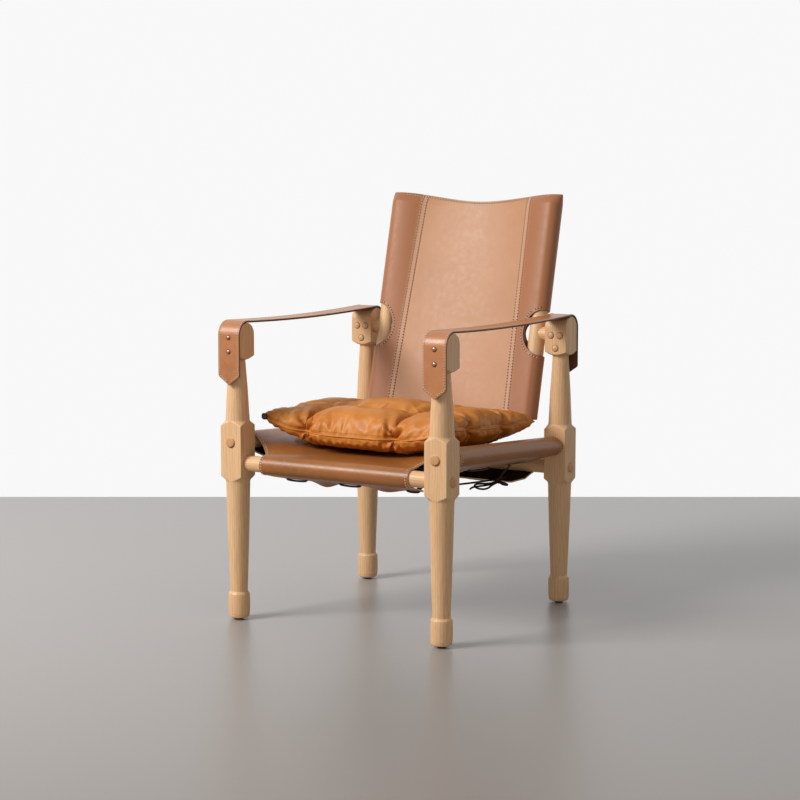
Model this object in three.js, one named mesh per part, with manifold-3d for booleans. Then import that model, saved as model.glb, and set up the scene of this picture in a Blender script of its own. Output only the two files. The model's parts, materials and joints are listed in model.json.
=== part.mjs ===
// Leather safari lounge chair: four turned legs, four round rails with through tenons,
// a leather seat laced under the rails, a pivoting leather back, leather arm straps
// and a loose leather seat cushion.
// Millimetres, +Z up, front of the chair towards -Y, floor at z = 0.
import * as THREE from 'three';
import { mergeVertices } from 'three/addons/utils/BufferGeometryUtils.js';
import Module from 'manifold-3d';

const wasm = await Module();
wasm.setup();

// Driving dimensions
const GAP = 0.3;
const LEG_X = 231; // half the distance between left and right leg centres
const LEG_Y = 235; // half the distance between front and rear leg centres
const FOOTPRINT_SHIFT_Y = -23.8; // puts the origin under the middle of the whole chair

// Legs, turned from a square blank
const BLANK = 48;
const FOOT_RADIUS = 21.5;
const FOOT_TOP = 55;
const ANKLE_RADIUS = 17;
const NECK_RADIUS = 16;
const SHAFT_RADIUS = 23.6; // at the ends of the square block
const CREST = 585;
const HEAD_RADIUS = BLANK / 2; // rounding of the leg's head, seen from the side
const FRONT_LEG = { blockBottom: 286, blockTop: 384, headBottom: 521 };
const REAR_LEG = { blockBottom: 256.5, blockTop: 356, headBottom: 514.5 };
const GLIDE_RADIUS = 8.5;
const GLIDE_HEIGHT = 4;
const GLIDE_NAIL_RADIUS = 1.5;
const GLIDE_NAIL_TOP = 20;

// Rails
const RAIL_RADIUS = 15.5;
const TENON_RADIUS = 9.5;
const TENON_PROUD = 3;
const FRONT_RAIL_Z = 311;
const REAR_RAIL_Z = 279;
const SIDE_RAIL_FRONT_Z = 352;
const SIDE_RAIL_REAR_Z = 323;

// Pivoting back: heights on it are measured along its posts from the pivot
const PIVOT_Y = 231;
const PIVOT_Z = 548;
const BACK_TILT = THREE.MathUtils.degToRad(13.7);
const POST_X = 180;
const POST_RADIUS = 17;
const POST_BOTTOM = -167;
const POST_TOP = 262;
const BACK_BOTTOM = -174;
const BACK_TOP = 286;
const BACK_LEATHER = 2.6;
const BACK_TOP_DIP = 13;
const BACK_TOP_FLAT = 20; // length of the sewn top that closes the pockets
const BACK_CENTRE_BOTTOM = -13.5; // front face of the panel's middle, from the posts' plane
const BACK_CENTRE_TOP = 15;
const BACK_SEAM_X = 128; // inner edge of the pocket's return
const POCKET_TIP_X = 151;
const ARM_HOLE_RADIUS = 47;
const ARM_HOLE_X = 203;
const BOLT_RADIUS = 4;
const BOLT_HEAD_RADIUS = 7.5;
const BOLT_HEAD_HEIGHT = 5;
const BOLT_HEAD_X = 164.5;
const BOLT_END_X = 236;
const INSERT_RADIUS = 6;
const INSERT_LENGTH = 18;
const SPACER_RADIUS = 15;

// Button plugs on the heads of the rear legs: name, x from the leg's centre, height
const PLUG_RADIUS = 6.5;
const PLUG_DEPTH = 5;
const PLUG_DOME = 3;
const PLUG_PLACES = [['left', -10, 547.5], ['right', 10, 547.5], ['lower', 0, 521.8]];

// Arm straps and their studs
const STRAP_WIDTH = 50;
const STRAP_THICKNESS = 4;
const STRAP_SAG = 5;
const STRAP_CORNER_Z = 482;
const STRAP_TIP_Z = 465;
const STUD_HEIGHTS = { upper: 557.5, lower: 530 };
const STUD_RADIUS = 4.2;
const STUD_DOME = 2.4;
const STUD_SHANK_RADIUS = 1.5;
const STUD_SHANK = 18;

// Leather seat
const SEAT_LEATHER = 3;
const SEAT_WRAP = 17.9; // radius of the middle of the leather where it goes round a rail
const CORNER_CUT_X = 64; // half the width of the cut-outs round the legs
const FRONT_CUT = { length: 43, roundness: 1.45 }; // half the length; 2 is an ellipse, 1 a straight cut
const REAR_CUT = { length: 28, roundness: 2 };
const SEAT_STATIONS_Y = [-156, -110, -60, 0, 60, 120, 168]; // between the cut-outs
const CUT_STATIONS = [0.32, 0.62, 0.87]; // along a cut-out, of its half length
const SEAT_RISE = 10; // how far the side rails lift the middle of the seat
const CROSS_TOUCH = THREE.MathUtils.degToRad(5); // where the seat meets a cross rail, from its top
const SIDE_TOUCH = THREE.MathUtils.degToRad(25);
const END_FLAP = 52;
const FRONT_FLAP_DROP = 13.5;
const REAR_FLAP_DROP = 14;
const SIDE_FLAP = 66;
const SIDE_FLAP_DROP = 20;

// Laces under the seat
const LACE_RADIUS = 2;
const LACE_SIDES = 6;
const LACE_HOLE_RADIUS = 4;
const LACE_BEND = 3.5;
const LACE_HOLE_INSET = 11; // from the edge of the flap
const LACE_SAG = 4;
const LONG_LACE_X = [-143, -97, -20, 27, 131];
const LONG_LACE_END_X = 158; // the last hole, in the front flap only
const CROSS_LACE_Y = [-120, -40, 40, 120];
const KNOT_RADIUS = 4;
const BOW_KNOT_RADIUS = 5.5;
const BOW = [140, 138, 254];

// Cushion
const CUSHION_HALF_X = 208;
const CUSHION_HALF_Y = 174;
const CUSHION_Y = -8;
const CUSHION_FRONT_CORNER_Z = 398;
const CUSHION_REAR_CORNER_Z = 377;
const CUSHION_SADDLE = 22; // how far the seam drops between the left and right corners
const CUSHION_SIDE_DIP = 6; // and between the front and rear corners
const CUSHION_CROWN = 66;
const CUSHION_BELLY = 34;
const CUSHION_FULLNESS = 0.3;
const CUSHION_DRAW_IN = 9;
const CUSHION_PINCH = 14;
const CUSHION_PINCH_AT = 0.52; // of the half side, from its middle
const CUSHION_PINCH_WIDTH = 0.12;
const CUSHION_VALLEY = 0.22; // depth of the valleys between the pinches, of the crown
const CUSHION_CLEARANCE = 2.5; // to the seat
const TAB_SIZE = [14, 3, 13];
const TAB_OVERHANG = 2; // past the corner

const LATHE_SEGMENTS = 16;
const SMALL_SEGMENTS = 12;

const { lerp, clamp } = THREE.MathUtils;
const SIDES = [['left', -1], ['right', 1]];

// Finishes
const finish = (color, roughness, metalness = 0) => () =>
  new THREE.MeshStandardMaterial({ color, roughness, metalness });
const ash = finish('#dcb88c', 0.55);
const strapLeather = finish('#b9784a', 0.5);
const backLeather = finish('#c8946c', 0.5);
const seatLeather = finish('#a8683d', 0.5);
const cushionLeather = finish('#c07a35', 0.45);
const laceLeather = finish('#3a2218', 0.6);
const blackPlastic = finish('#1d1b1a', 0.5);
const steel = finish('#b4b4b2', 0.35, 1);
const brass = finish('#b58a4c', 0.35, 1);

// Solids for cutting and joining
function solidOf(geometry) {
  const bare = geometry.clone();
  for (const name of Object.keys(bare.attributes)) {
    if (name !== 'position') bare.deleteAttribute(name);
  }
  const merged = mergeVertices(bare, 1e-3);
  return new wasm.Manifold(new wasm.Mesh({
    numProp: 3,
    vertProperties: new Float32Array(merged.attributes.position.array),
    triVerts: new Uint32Array(merged.index.array),
  }));
}

function meshGeometry(positions, indices) {
  const geometry = new THREE.BufferGeometry();
  geometry.setAttribute('position', new THREE.Float32BufferAttribute(positions, 3));
  geometry.setIndex(indices);
  geometry.computeVertexNormals();
  return geometry;
}

function geometryOf(solid) {
  const mesh = solid.getMesh();
  return meshGeometry(Array.from(mesh.vertProperties), Array.from(mesh.triVerts));
}

const cut = (solid, cutters) => cutters.reduce((rest, cutter) => rest.subtract(cutter), solid);

// The radius of a faceted hole that clears a round piece by the gap
const clear = (radius, segments = LATHE_SEGMENTS) => (radius + GAP) / Math.cos(Math.PI / segments);

// A turned body about +Z from [radius, height] pairs
function turned(profile, segments = LATHE_SEGMENTS) {
  const points = profile.map(([radius, height]) => new THREE.Vector2(radius, height));
  return new THREE.LatheGeometry(points, segments).rotateX(Math.PI / 2);
}

// A plain rod from one point to another
function rod(radius, start, end, segments = LATHE_SEGMENTS) {
  const from = new THREE.Vector3(...start);
  const along = new THREE.Vector3(...end).sub(from);
  const turn = new THREE.Quaternion()
    .setFromUnitVectors(new THREE.Vector3(0, 0, 1), along.clone().normalize());
  return turned([[0, 0], [radius, 0], [radius, along.length()], [0, along.length()]], segments)
    .applyQuaternion(turn)
    .translate(...start);
}

const hole = (radius, start, end, segments) =>
  solidOf(rod(clear(radius, segments), start, end, segments));

// A flat outline pushed along X: its own x runs along Y and its y along Z
function prismAlongX(shape, width) {
  return new THREE.ExtrudeGeometry(shape, { depth: width, bevelEnabled: false })
    .translate(0, 0, -width / 2)
    .applyMatrix4(new THREE.Matrix4().makeBasis(
      new THREE.Vector3(0, 1, 0), new THREE.Vector3(0, 0, 1), new THREE.Vector3(1, 0, 0)));
}

// A flat outline pushed along Y: its own x runs along X and its y along Z
function prismAlongY(shape, length) {
  return new THREE.ExtrudeGeometry(shape, { depth: length, bevelEnabled: false })
    .translate(0, 0, -length / 2)
    .rotateX(Math.PI / 2);
}

const outline = (pairs) => new THREE.Shape(pairs.map(([x, y]) => new THREE.Vector2(x, y)));

const chair = new THREE.Group();
chair.position.y = FOOTPRINT_SHIFT_Y;
const back = new THREE.Group();
back.position.set(0, PIVOT_Y, PIVOT_Z);
back.rotation.x = -BACK_TILT;
chair.add(back);

function place(group, name, geometry, material, x = 0, y = 0, z = 0) {
  const mesh = new THREE.Mesh(geometry, material());
  mesh.name = name;
  mesh.position.set(x, y, z);
  group.add(mesh);
}

// Legs, made at x = y = 0
const railSlope = (SIDE_RAIL_REAR_Z - SIDE_RAIL_FRONT_Z) / (2 * LEG_Y);
const sideRailZ = (y) => (SIDE_RAIL_FRONT_Z + SIDE_RAIL_REAR_Z) / 2 + railSlope * y;

function legBlank({ blockBottom, blockTop, headBottom }) {
  const corner = BLANK * 0.72; // past the corners of the blank
  const lathe = turned([
    [0, GLIDE_HEIGHT + GAP],
    [FOOT_RADIUS - 4, GLIDE_HEIGHT + GAP],
    [FOOT_RADIUS, GLIDE_HEIGHT + 4],
    [FOOT_RADIUS, FOOT_TOP - 2],
    [FOOT_RADIUS - 1.5, FOOT_TOP],
    [ANKLE_RADIUS, FOOT_TOP + 1],
    [(ANKLE_RADIUS + SHAFT_RADIUS) / 2 + 0.6, (FOOT_TOP + blockBottom) / 2],
    [SHAFT_RADIUS, blockBottom - 11],
    [SHAFT_RADIUS + 2, blockBottom - 7],
    [corner, blockBottom + 0.5],
    [corner, blockTop - 0.5],
    [SHAFT_RADIUS + 2, blockTop + 7],
    [SHAFT_RADIUS, blockTop + 11],
    [(NECK_RADIUS + SHAFT_RADIUS) / 2 + 0.6, (headBottom + blockTop) / 2],
    [NECK_RADIUS, headBottom - 9],
    [HEAD_RADIUS - 1, headBottom - 6.5],
    [corner, headBottom + 0.5],
    [corner, CREST],
    [0, CREST],
  ]);
  const arch = new THREE.Shape();
  arch.moveTo(-HEAD_RADIUS, 0);
  arch.lineTo(HEAD_RADIUS, 0);
  arch.absarc(0, CREST - HEAD_RADIUS, HEAD_RADIUS, 0, Math.PI);
  return solidOf(lathe).intersect(solidOf(prismAlongX(arch, BLANK)));
}

function legHoles(side, isFront) {
  const outward = isFront ? -1 : 1; // towards the face that the strap hangs on
  const sideZ = isFront ? SIDE_RAIL_FRONT_Z : SIDE_RAIL_REAR_Z;
  const crossZ = isFront ? FRONT_RAIL_Z : REAR_RAIL_Z;
  const studEnd = outward * (HEAD_RADIUS + STRAP_THICKNESS - STUD_SHANK - 1);
  const holes = [
    hole(TENON_RADIUS, [0, -BLANK, sideZ - BLANK * railSlope], [0, BLANK, sideZ + BLANK * railSlope],
      SMALL_SEGMENTS),
    hole(TENON_RADIUS, [-BLANK, 0, crossZ], [BLANK, 0, crossZ], SMALL_SEGMENTS),
    hole(GLIDE_NAIL_RADIUS, [0, 0, 0], [0, 0, GLIDE_NAIL_TOP + 1], SMALL_SEGMENTS),
    ...Object.values(STUD_HEIGHTS).map((z) =>
      hole(STUD_SHANK_RADIUS, [0, studEnd, z], [0, outward * BLANK, z], SMALL_SEGMENTS)),
  ];
  if (isFront) return holes;
  const face = -side * HEAD_RADIUS; // the face towards the middle of the chair
  const y = PIVOT_Y - LEG_Y;
  return [
    ...holes,
    hole(INSERT_RADIUS, [face * 2, y, PIVOT_Z], [face + side * (INSERT_LENGTH + 1), y, PIVOT_Z],
      SMALL_SEGMENTS),
    hole(BOLT_RADIUS, [face, y, PIVOT_Z], [side * (BOLT_END_X - LEG_X + 1), y, PIVOT_Z], SMALL_SEGMENTS),
    ...PLUG_PLACES.map(([, x, z]) =>
      hole(PLUG_RADIUS - 0.5, [x, -BLANK, z], [x, PLUG_DEPTH + 1 - HEAD_RADIUS, z], SMALL_SEGMENTS)),
  ];
}

function addGlide(name, x, y) {
  const profile = [
    [0, 0],
    [GLIDE_RADIUS - 1, 0],
    [GLIDE_RADIUS, 1],
    [GLIDE_RADIUS, GLIDE_HEIGHT],
    [GLIDE_NAIL_RADIUS, GLIDE_HEIGHT],
    [GLIDE_NAIL_RADIUS, GLIDE_NAIL_TOP - 2],
    [0, GLIDE_NAIL_TOP],
  ];
  place(chair, name, turned(profile, SMALL_SEGMENTS), blackPlastic, x, y);
}

function addLegs() {
  for (const [end, y, sizes] of [['front', -LEG_Y, FRONT_LEG], ['rear', LEG_Y, REAR_LEG]]) {
    const blank = legBlank(sizes);
    for (const [name, side] of SIDES) {
      const leg = cut(blank, legHoles(side, end === 'front'));
      place(chair, `${end}_${name}_leg`, geometryOf(leg), ash, side * LEG_X, y);
      addGlide(`${end}_${name}_glide`, side * LEG_X, y);
    }
  }
}

// The front and rear rails lie level, and the side rails fall towards the rear
function addCrossRail(name, y, z) {
  const shoulder = LEG_X - BLANK / 2 - GAP;
  const end = LEG_X + BLANK / 2 + TENON_PROUD;
  const half = [
    [RAIL_RADIUS, shoulder],
    [TENON_RADIUS, shoulder],
    [TENON_RADIUS, end - 1],
    [TENON_RADIUS - 1, end],
    [0, end],
  ];
  const mirrored = half.map(([radius, height]) => [radius, -height]).reverse();
  place(chair, name, turned([...mirrored, ...half]).rotateY(Math.PI / 2), ash, 0, y, z);
}

function addSideRails() {
  const inside = LEG_Y - BLANK / 2 - GAP;
  const tenonEnd = LEG_Y + BLANK / 2 + TENON_PROUD;
  const line = (y) => [0, y, sideRailZ(y)];
  const between = outline([[-inside, 0], [inside, 0], [inside, CREST], [-inside, CREST]]);
  const rail = solidOf(rod(RAIL_RADIUS, line(-LEG_Y), line(LEG_Y)))
    .intersect(solidOf(prismAlongX(between, BLANK * 2)))
    .add(solidOf(rod(TENON_RADIUS, line(-tenonEnd), line(tenonEnd))));
  for (const [name, side] of SIDES) {
    place(chair, `${name}_side_rail`, geometryOf(rail), ash, side * LEG_X);
  }
}

// Arm straps run over the heads of the legs and hang down in points
function strapLine(offset) {
  const radius = HEAD_RADIUS + GAP + offset;
  const bendSteps = 6;
  const spanSteps = 8;
  const line = [[-LEG_Y - radius, 0]];
  const bend = (centre, from) => {
    for (let i = 0; i <= bendSteps; i += 1) {
      const angle = from - (Math.PI / 2) * (i / bendSteps);
      line.push([centre + radius * Math.cos(angle), CREST - HEAD_RADIUS + radius * Math.sin(angle)]);
    }
  };
  bend(-LEG_Y, Math.PI);
  for (let i = 1; i < spanSteps; i += 1) {
    const along = (2 * i) / spanSteps - 1;
    line.push([LEG_Y * along, CREST + GAP + offset - STRAP_SAG * (1 - along * along)]);
  }
  bend(LEG_Y, Math.PI / 2);
  line.push([LEG_Y + radius, 0]);
  return line;
}

function addStraps() {
  const sides = [...strapLine(0), ...strapLine(STRAP_THICKNESS).reverse()].reverse();
  const length = 3 * LEG_Y;
  const pointRise = 2 * (STRAP_CORNER_Z - STRAP_TIP_Z);
  const pointed = outline([
    [0, STRAP_TIP_Z],
    [STRAP_WIDTH, STRAP_TIP_Z + pointRise],
    [STRAP_WIDTH, CREST + BLANK],
    [-STRAP_WIDTH, CREST + BLANK],
    [-STRAP_WIDTH, STRAP_TIP_Z + pointRise],
  ]);
  const holes = Object.values(STUD_HEIGHTS).map((z) =>
    hole(STUD_SHANK_RADIUS, [0, -length / 2, z], [0, length / 2, z], SMALL_SEGMENTS));
  const strap = cut(
    solidOf(prismAlongX(outline(sides), STRAP_WIDTH)).intersect(solidOf(prismAlongY(pointed, length))),
    holes,
  );
  for (const [name, side] of SIDES) {
    place(chair, `${name}_arm_strap`, geometryOf(strap), strapLeather, side * LEG_X);
  }
}

function addStuds() {
  const seat = LEG_Y + HEAD_RADIUS + 2 * GAP + STRAP_THICKNESS;
  const profile = [
    [0, -STUD_SHANK],
    [STUD_SHANK_RADIUS, -STUD_SHANK + 1.5],
    [STUD_SHANK_RADIUS, 0],
    [STUD_RADIUS, 0],
    [STUD_RADIUS * 0.8, STUD_DOME * 0.65],
    [0, STUD_DOME],
  ];
  for (const [end, outward] of [['front', -1], ['rear', 1]]) {
    const stud = turned(profile, SMALL_SEGMENTS).rotateX(-outward * Math.PI / 2);
    for (const [name, side] of SIDES) {
      for (const [level, z] of Object.entries(STUD_HEIGHTS)) {
        place(chair, `${end}_${name}_strap_stud_${level}`, stud, brass, side * LEG_X, outward * seat, z);
      }
    }
  }
}

function addPlugs() {
  const profile = [
    [0, -PLUG_DEPTH],
    [PLUG_RADIUS - 0.5, -PLUG_DEPTH],
    [PLUG_RADIUS - 0.5, GAP],
    [PLUG_RADIUS, GAP],
    [PLUG_RADIUS * 0.75, PLUG_DOME * 0.75],
    [0, PLUG_DOME],
  ];
  const plug = turned(profile, SMALL_SEGMENTS).rotateX(Math.PI / 2);
  for (const [name, side] of SIDES) {
    for (const [spot, x, z] of PLUG_PLACES) {
      place(chair, `rear_${name}_plug_${spot}`, plug, ash, side * LEG_X + x, LEG_Y - HEAD_RADIUS, z);
    }
  }
}

// Pivot bolts stay in the legs; posts and spacers turn on them
function addPivots() {
  const boltLength = BOLT_END_X - BOLT_HEAD_X;
  const bolt = turned([
    [0, 0],
    [BOLT_HEAD_RADIUS, 0],
    [BOLT_HEAD_RADIUS, BOLT_HEAD_HEIGHT],
    [BOLT_RADIUS, BOLT_HEAD_HEIGHT],
    [BOLT_RADIUS, boltLength],
    [0, boltLength],
  ], SMALL_SEGMENTS);
  const bore = clear(BOLT_RADIUS, SMALL_SEGMENTS);
  const insert = turned([
    [bore, 0],
    [INSERT_RADIUS, 0],
    [INSERT_RADIUS, INSERT_LENGTH],
    [bore, INSERT_LENGTH],
    [bore, 0],
  ], SMALL_SEGMENTS);
  const faceX = LEG_X - BLANK / 2;
  const postRod = solidOf(rod(clear(POST_RADIUS), [0, 0, -BLANK], [0, 0, BLANK]));
  for (const [name, side] of SIDES) {
    const turn = side * Math.PI / 2;
    place(chair, `${name}_pivot_bolt`, bolt.clone().rotateY(turn), steel,
      side * BOLT_HEAD_X, PIVOT_Y, PIVOT_Z);
    place(chair, `${name}_pivot_insert`, insert.clone().rotateY(turn), brass,
      side * (faceX + 2 * GAP), PIVOT_Y, PIVOT_Z);
    const spacer = cut(solidOf(rod(SPACER_RADIUS, [0, 0, 0], [side * (faceX - GAP - POST_X), 0, 0])), [
      postRod,
      hole(BOLT_RADIUS, [-side * BLANK, 0, 0], [side * BLANK, 0, 0], SMALL_SEGMENTS),
    ]);
    place(back, `${name}_pivot_spacer`, geometryOf(spacer), ash, side * POST_X);
  }
}

function addPosts() {
  const rounding = 3;
  const profile = [
    [0, POST_BOTTOM],
    [POST_RADIUS - rounding, POST_BOTTOM],
    [POST_RADIUS, POST_BOTTOM + rounding],
    [POST_RADIUS, POST_TOP - rounding],
    [POST_RADIUS - rounding, POST_TOP],
    [0, POST_TOP],
  ];
  const headSeat = BOLT_HEAD_X + BOLT_HEAD_HEIGHT + GAP - POST_X;
  for (const [name, side] of SIDES) {
    const post = cut(solidOf(turned(profile)), [
      hole(BOLT_RADIUS, [-side * BLANK, 0, 0], [side * BLANK, 0, 0], SMALL_SEGMENTS),
      hole(BOLT_HEAD_RADIUS, [-side * BLANK, 0, 0], [side * headSeat, 0, 0], SMALL_SEGMENTS),
    ]);
    place(back, `${name}_back_post`, geometryOf(post), ash, side * POST_X);
  }
}

// The back is lofted from level sections, each an outline with a pocket round each post
const backFrontFace = (x, h, squash) => {
  const tubeFront = -(POST_RADIUS + 2 * GAP + BACK_LEATHER) * squash;
  const centre = lerp(BACK_CENTRE_BOTTOM, BACK_CENTRE_TOP, (h - BACK_BOTTOM) / (BACK_TOP - BACK_BOTTOM));
  return tubeFront + (centre - tubeFront) * (1 - (x / POST_X) ** 2);
};

function arc(centreX, radius, squash, from, to, steps) {
  const points = [];
  for (let i = 0; i <= steps; i += 1) {
    const angle = THREE.MathUtils.degToRad(lerp(from, to, i / steps));
    points.push([centreX + radius * Math.cos(angle), radius * squash * Math.sin(angle)]);
  }
  return points;
}

function backSection(h) {
  const flatness = clamp((BACK_TOP - h) / BACK_TOP_FLAT, 0, 1);
  const outer = POST_RADIUS + 2 * GAP + BACK_LEATHER;
  const squash = lerp(BACK_LEATHER / outer, 1, Math.sqrt(flatness));
  const face = (x, layers) => [x, backFrontFace(x, h, squash) + layers * BACK_LEATHER];
  const half = [
    ...[30, 60, 90, 115, 137, 155, 168].map((x) => face(x, 0)),
    ...arc(POST_X, outer, squash, -85, 143, 9),
    ...[POCKET_TIP_X - 2, BACK_SEAM_X].map((x) => face(x, 2)),
    ...[BACK_SEAM_X - 1, 90, 60, 30].map((x) => face(x, 1)),
  ];
  const mirrored = half.map(([x, y]) => [-x, y]).reverse();
  const pocket = [
    ...arc(POST_X, outer - BACK_LEATHER, 1, -100, 143, 12),
    [POCKET_TIP_X, face(POCKET_TIP_X, 1)[1] + GAP],
  ];
  return {
    outer: [face(0, 0), ...half, face(0, 1), ...mirrored],
    pockets: [[...pocket].reverse(), pocket.map(([x, y]) => [-x, y])],
  };
}

function backLoft() {
  const positions = [];
  const indices = [];
  const pocketTop = POST_TOP + 4;
  const dipStart = pocketTop - 90;
  const heights = [BACK_BOTTOM, -115, -55, 0, 55, 115, dipStart, 225, pocketTop, 277, BACK_TOP];
  const addLoop = (loop, h) => loop.map(([x, y]) => {
    const dip = BACK_TOP_DIP * 0.5 * (1 + Math.cos(Math.PI * Math.min(1, Math.abs(x) / (POST_X + 10))));
    positions.push(x, y, h - dip * clamp((h - dipStart) / (BACK_TOP - dipStart), 0, 1));
    return positions.length / 3 - 1;
  });
  const addWall = (low, high) => low.forEach((a, i) => {
    const j = (i + 1) % low.length;
    indices.push(a, low[j], high[j], a, high[j], high[i]);
  });
  const addCap = (loops, ids, flip) => {
    const [contour, ...holes] = loops.map((loop) => loop.map(([x, y]) => new THREE.Vector2(x, y)));
    for (const [a, b, c] of THREE.ShapeUtils.triangulateShape(contour, holes)) {
      indices.push(...(flip ? [ids[c], ids[b], ids[a]] : [ids[a], ids[b], ids[c]]));
    }
  };
  let below = null;
  for (const h of heights) {
    const section = backSection(h);
    const loops = h <= pocketTop ? [section.outer, ...section.pockets] : [section.outer];
    const ids = loops.map((loop) => addLoop(loop, h));
    if (below === null) addCap(loops, ids.flat(), true);
    else ids.forEach((loop, i) => addWall(below[i], loop));
    if (h === pocketTop) {
      section.pockets.forEach((pocket, i) => {
        addCap([[...pocket].reverse()], [...ids[i + 1]].reverse(), true);
      });
    }
    if (h === BACK_TOP) addCap(loops, ids.flat(), false);
    below = ids;
  }
  return meshGeometry(positions, indices);
}

function addBack() {
  const armHoles = SIDES.map(([, side]) =>
    solidOf(rod(ARM_HOLE_RADIUS, [side * ARM_HOLE_X, -BLANK, 0], [side * ARM_HOLE_X, BLANK, 0])));
  place(back, 'back_sling', geometryOf(cut(solidOf(backLoft()), armHoles)), backLeather);
}

// A sheet of one thickness on a grid of points; null where it is cut away
function thickSheet(grid, thickness) {
  const points = [];
  const ids = grid.map((row) => row.map((point) => (point ? points.push(point) - 1 : -1)));
  const quads = [];
  for (let r = 0; r + 1 < grid.length; r += 1) {
    for (let c = 0; c + 1 < grid[r].length; c += 1) {
      const quad = [ids[r][c], ids[r][c + 1], ids[r + 1][c + 1], ids[r + 1][c]];
      if (quad.every((id) => id >= 0)) quads.push(quad);
    }
  }
  const normals = points.map(() => new THREE.Vector3());
  const edges = new Set();
  for (const quad of quads) {
    const [a, b, c, d] = quad.map((id) => points[id]);
    const normal = c.clone().sub(a).cross(d.clone().sub(b));
    quad.forEach((id, i) => {
      normals[id].add(normal);
      edges.add(`${id} ${quad[(i + 1) % 4]}`);
    });
  }
  const count = points.length;
  const positions = [];
  for (const half of [thickness / 2, -thickness / 2]) {
    points.forEach((point, id) => {
      positions.push(...point.clone().addScaledVector(normals[id].clone().normalize(), half).toArray());
    });
  }
  const indices = [];
  for (const quad of quads) {
    const [a, b, c, d] = quad;
    indices.push(a, b, c, a, c, d);
    indices.push(a + count, c + count, b + count, a + count, d + count, c + count);
    quad.forEach((id, i) => {
      const next = quad[(i + 1) % 4];
      if (!edges.has(`${next} ${id}`)) indices.push(next, id, id + count, next, id + count, next + count);
    });
  }
  return meshGeometry(positions, indices);
}

// The seat: a saddle between four rails, wrapped round each and returned underneath
const seatEndY = LEG_Y - SEAT_WRAP * Math.sin(CROSS_TOUCH);
const seatSideX = LEG_X - SEAT_WRAP * Math.sin(SIDE_TOUCH);
const crossTouchRise = SEAT_WRAP * Math.cos(CROSS_TOUCH);
// The share of a cut-out's half width that is left at a share of its length, and the other way round
const cutCurve = (share, { roundness }) => (1 - share ** roundness) ** (1 / roundness);
const sideShare = (LEG_X - seatSideX) / CORNER_CUT_X; // where a cut-out meets the side
const frontSleeveEnd = -LEG_Y + FRONT_CUT.length * cutCurve(sideShare, FRONT_CUT);
const rearSleeveEnd = LEG_Y - REAR_CUT.length * cutCurve(sideShare, REAR_CUT);

function seatZ(x, y) {
  const along = y / seatEndY;
  const middle = lerp(FRONT_RAIL_Z, REAR_RAIL_Z, (along + 1) / 2) + crossTouchRise
    + SEAT_RISE * (1 - along * along);
  const side = sideRailZ(y) + SEAT_WRAP * Math.cos(SIDE_TOUCH);
  const flat = 0.75 * Math.abs(along) ** 3;
  const rise = clamp((Math.abs(x) / seatSideX - flat) / (1 - flat), 0, 1);
  return middle + (side - middle) * rise ** 2;
}

function seatHalfWidth(y) {
  const corner = y < 0 ? FRONT_CUT : REAR_CUT;
  const along = Math.min(1, (LEG_Y - Math.abs(y)) / corner.length);
  return Math.min(seatSideX, LEG_X - CORNER_CUT_X * cutCurve(along, corner));
}

const frontFlapZ = (run) => FRONT_RAIL_Z - SEAT_WRAP - FRONT_FLAP_DROP * (run / END_FLAP);
const rearFlapZ = (run) => REAR_RAIL_Z - SEAT_WRAP - REAR_FLAP_DROP * (run / END_FLAP);
const sideFlapZ = (run, y) => sideRailZ(y) - SEAT_WRAP - SIDE_FLAP_DROP * (run / SIDE_FLAP);

// Points beyond a rail's touch line, as [outward, up] from the rail's axis, then the flap's runs
function wrapTurns(touch) {
  const steps = 7;
  return Array.from({ length: steps }, (_, i) => {
    const angle = lerp(-touch, Math.PI, (i + 1) / steps);
    return [SEAT_WRAP * Math.sin(angle), SEAT_WRAP * Math.cos(angle)];
  });
}

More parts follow.
